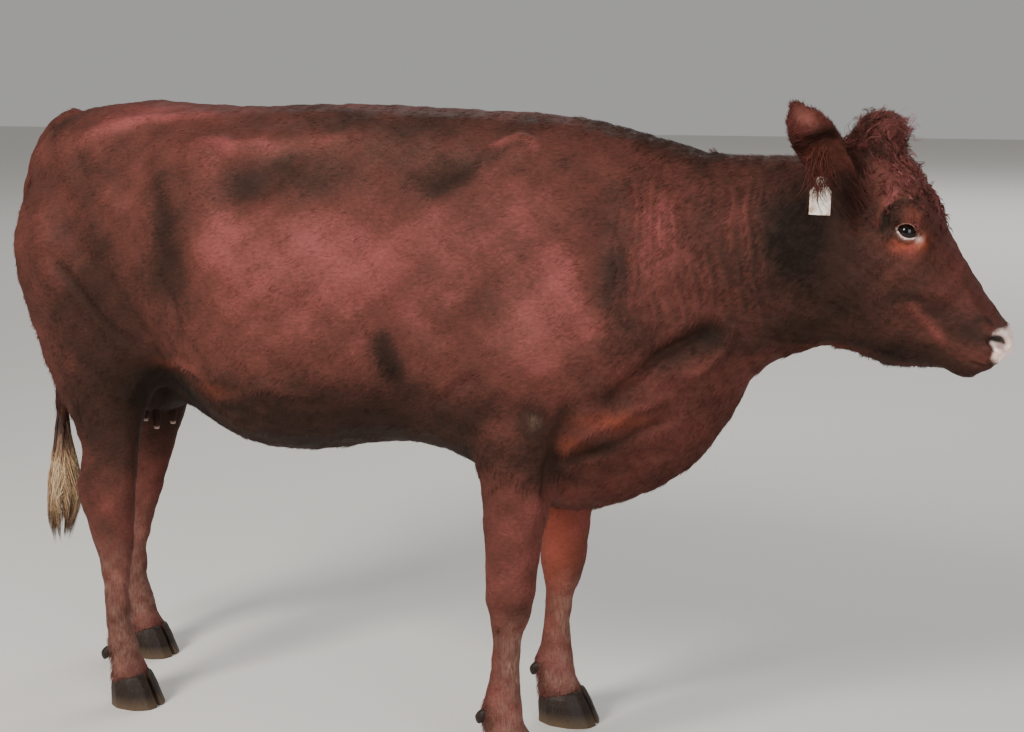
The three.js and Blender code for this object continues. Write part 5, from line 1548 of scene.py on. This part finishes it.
LONG_HAIR = [
    ("crest_hair", 2000, crest_area, 0.012, 0.0016, 0.16, 2, NECK_WRAP,
     lambda p, n: unit(np.array((-0.85, 0, 0.0)) + 0.25 * n)),
    ("brisket_fringe", 2400, lambda c: near(c, (0.38, 0.0, 0.55), (0.20, 0.09, 0.10)) * (c[:, 2] < 0.72), 0.020, 0.0016,
     0.16, 3, TRUNK_WRAP, None),
    ("belly_fringe", 2600, lambda c: np.exp(-(c[:, 1] / 0.09) ** 2) * (c[:, 0] < 0.12) * (c[:, 0] > -0.50) * (
        c[:, 2] < 0.72), 0.020, 0.0016, 0.16, 3, TRUNK_WRAP, None),
    ("ear_base_hair", 2200, ear_base_area, 0.034, 0.0015, 0.20, 3, HEAD_WRAP, ear_base_way),
    ("fetlock_hair", 4000, lambda c: near(home(c), (0.146, 0.154, 0.118), (0.016, 0.040, 0.026)) + near(
        home(c), (-0.792, 0.149, 0.118), (0.016, 0.040, 0.026)), 0.017, 0.0015, 0.14, 2,
     ((0.0, 0.0, 0.30), (0.0, 0.0, 0.0)), lambda p, n: unit(np.array((-0.25, 0.0, -1.0)) + 0.10 * n)),
    ("coronet_hair", 3800, lambda c: np.exp(-((c[:, 2] - 0.073) / 0.009) ** 2) * 1.0, 0.018, 0.0013, 0.14, 2,
     ((0.0, 0.0, 0.30), (0.0, 0.0, 0.0)), lambda p, n: unit(np.array((0.10, 0.0, -1.0)) + 0.35 * n)),
    ("tail_hair", 3400, lambda c: (c[:, 0] < -0.998) * (c[:, 2] < 1.25) * 1.0, 0.020, 0.0016, 0.08, 2,
     ((-1.03, 0.0, 1.30), (-1.03, 0.0, 0.55)), lambda p, n: unit(np.array((0.0, 0.0, -1.0)) + 0.12 * n)),
]
for name, count, density, length, width, lift, steps, wrap, way in LONG_HAIR:
    made = grow(name, hide_mesh, count, density, length, width, lift, steps, wrap, sway=0.25, way=way)
    piece(made, name, COAT, "coat")


def tag_hair():
    """Hair of the ear's lower edge that hangs over the top of the tag."""
    count = 200
    at = np.array((0.808, -0.187, 1.250))
    roots = at + RANDOM.uniform(-1, 1, (count, 3)) * np.array((0.015, 0.005, 0.022))
    t = np.linspace(0, 1, 7)[None, :, None]
    lengths = RANDOM.triangular(0.030, 0.050, 0.096, count)[:, None, None]
    way = unit(np.stack([RANDOM.normal(0, 0.16, count), np.full(count, -0.22), np.full(count, -1.0)], 1))
    bend = np.stack([RANDOM.normal(0, 0.18, count), np.full(count, 0.10), np.zeros(count)], 1)
    curl = 0.05 * np.sin(7 * t + RANDOM.uniform(0, 6, count)[:, None, None]) * np.array((1.0, 0.2, 0.0))
    spines = roots[:, None] + lengths * (way[:, None] * t + bend[:, None] * t * t + curl)
    out = np.tile((0.0, -1.0, 0.0), (count, 1))
    marks = {key: np.zeros(count) for key in NO_MARKS}
    marks["tone"] = RANDOM.uniform(0.22, 0.58, count)
    marks["rust"] = np.full(count, 0.06)
    marks["strand"] = RANDOM.uniform(-0.5, 0.7, count)
    made = strands("tag_hair", spines, unit(np.cross(out, way)), out, RANDOM.uniform(0.0008, 0.0016, count),
                   unwrapped(roots, *HEAD_WRAP), marks, thickness=0.6)
    piece(made, "tag_hair", COAT, "coat")


tag_hair()

# ---- Floor, light and camera ----
CAMERA_AT = Vector((1.537, -3.124, 1.383))
CAMERA_TURN = math.radians(24.22)
CAMERA_DOWN = math.radians(9.53)
SENSOR, LENS = 36.0, 59.4


def make_camera():
    """The camera, standing ahead of the shoulder on the cow's right side and looking a little back and down."""
    data = bpy.data.cameras.new("camera")
    data.sensor_width, data.lens = SENSOR, LENS
    holder = bpy.data.objects.new("camera", data)
    look = Vector((-math.sin(CAMERA_TURN) * math.cos(CAMERA_DOWN),
                   math.cos(CAMERA_TURN) * math.cos(CAMERA_DOWN), -math.sin(CAMERA_DOWN)))
    holder.location = CAMERA_AT
    holder.rotation_euler = look.to_track_quat("-Z", "Y").to_euler()
    bpy.context.scene.collection.objects.link(holder)
    bpy.context.scene.camera = holder


def add_light(name, at, aim, size, power, colour):
    """A soft square lamp that points at a place."""
    data = bpy.data.lights.new(name, "AREA")
    data.size, data.energy, data.color = size, power, colour
    holder = bpy.data.objects.new(name, data)
    holder.location = at
    holder.rotation_euler = (Vector(aim) - Vector(at)).to_track_quat("-Z", "Y").to_euler()
    bpy.context.scene.collection.objects.link(holder)


def make_floor():
    """A plain pale floor."""
    made, tree, shader = new_material("pale_matt_floor")
    shader.inputs["Base Color"].default_value = rgb(0xD8D5D0)
    shader.inputs["Roughness"].default_value = 0.85
    grid = bmesh.new()
    bmesh.ops.create_grid(grid, x_segments=2, y_segments=2, size=40)
    mesh = bpy.data.meshes.new("floor")
    grid.to_mesh(mesh)
    grid.free()
    mesh.materials.append(made)
    floor = bpy.data.objects.new("floor", mesh)
    bpy.context.scene.collection.objects.link(floor)


def make_world():
    world = bpy.data.worlds.new("studio")
    world.use_nodes = True
    world.node_tree.nodes["Background"].inputs["Color"].default_value = rgb(0xD8D7D5)
    world.node_tree.nodes["Background"].inputs["Strength"].default_value = 0.55
    bpy.context.scene.world = world


make_camera()
make_floor()
make_world()
add_light("key", (-1.6, -4.2, 3.6), (0.0, 0.0, 0.9), 1.6, 330, (1.0, 0.96, 0.90))
add_light("fill", (3.6, -3.4, 1.8), (0.5, 0.0, 0.9), 2.5, 115, (0.97, 0.98, 1.0))
add_light("far", (0.0, 13.0, 8.0), (0.0, 13.0, 0.0), 12.0, 900, (1.0, 1.0, 1.0))
add_light("back", (-0.5, 3.5, 3.8), (0.0, 0.0, 1.0), 2.5, 40, (1.0, 1.0, 1.0))
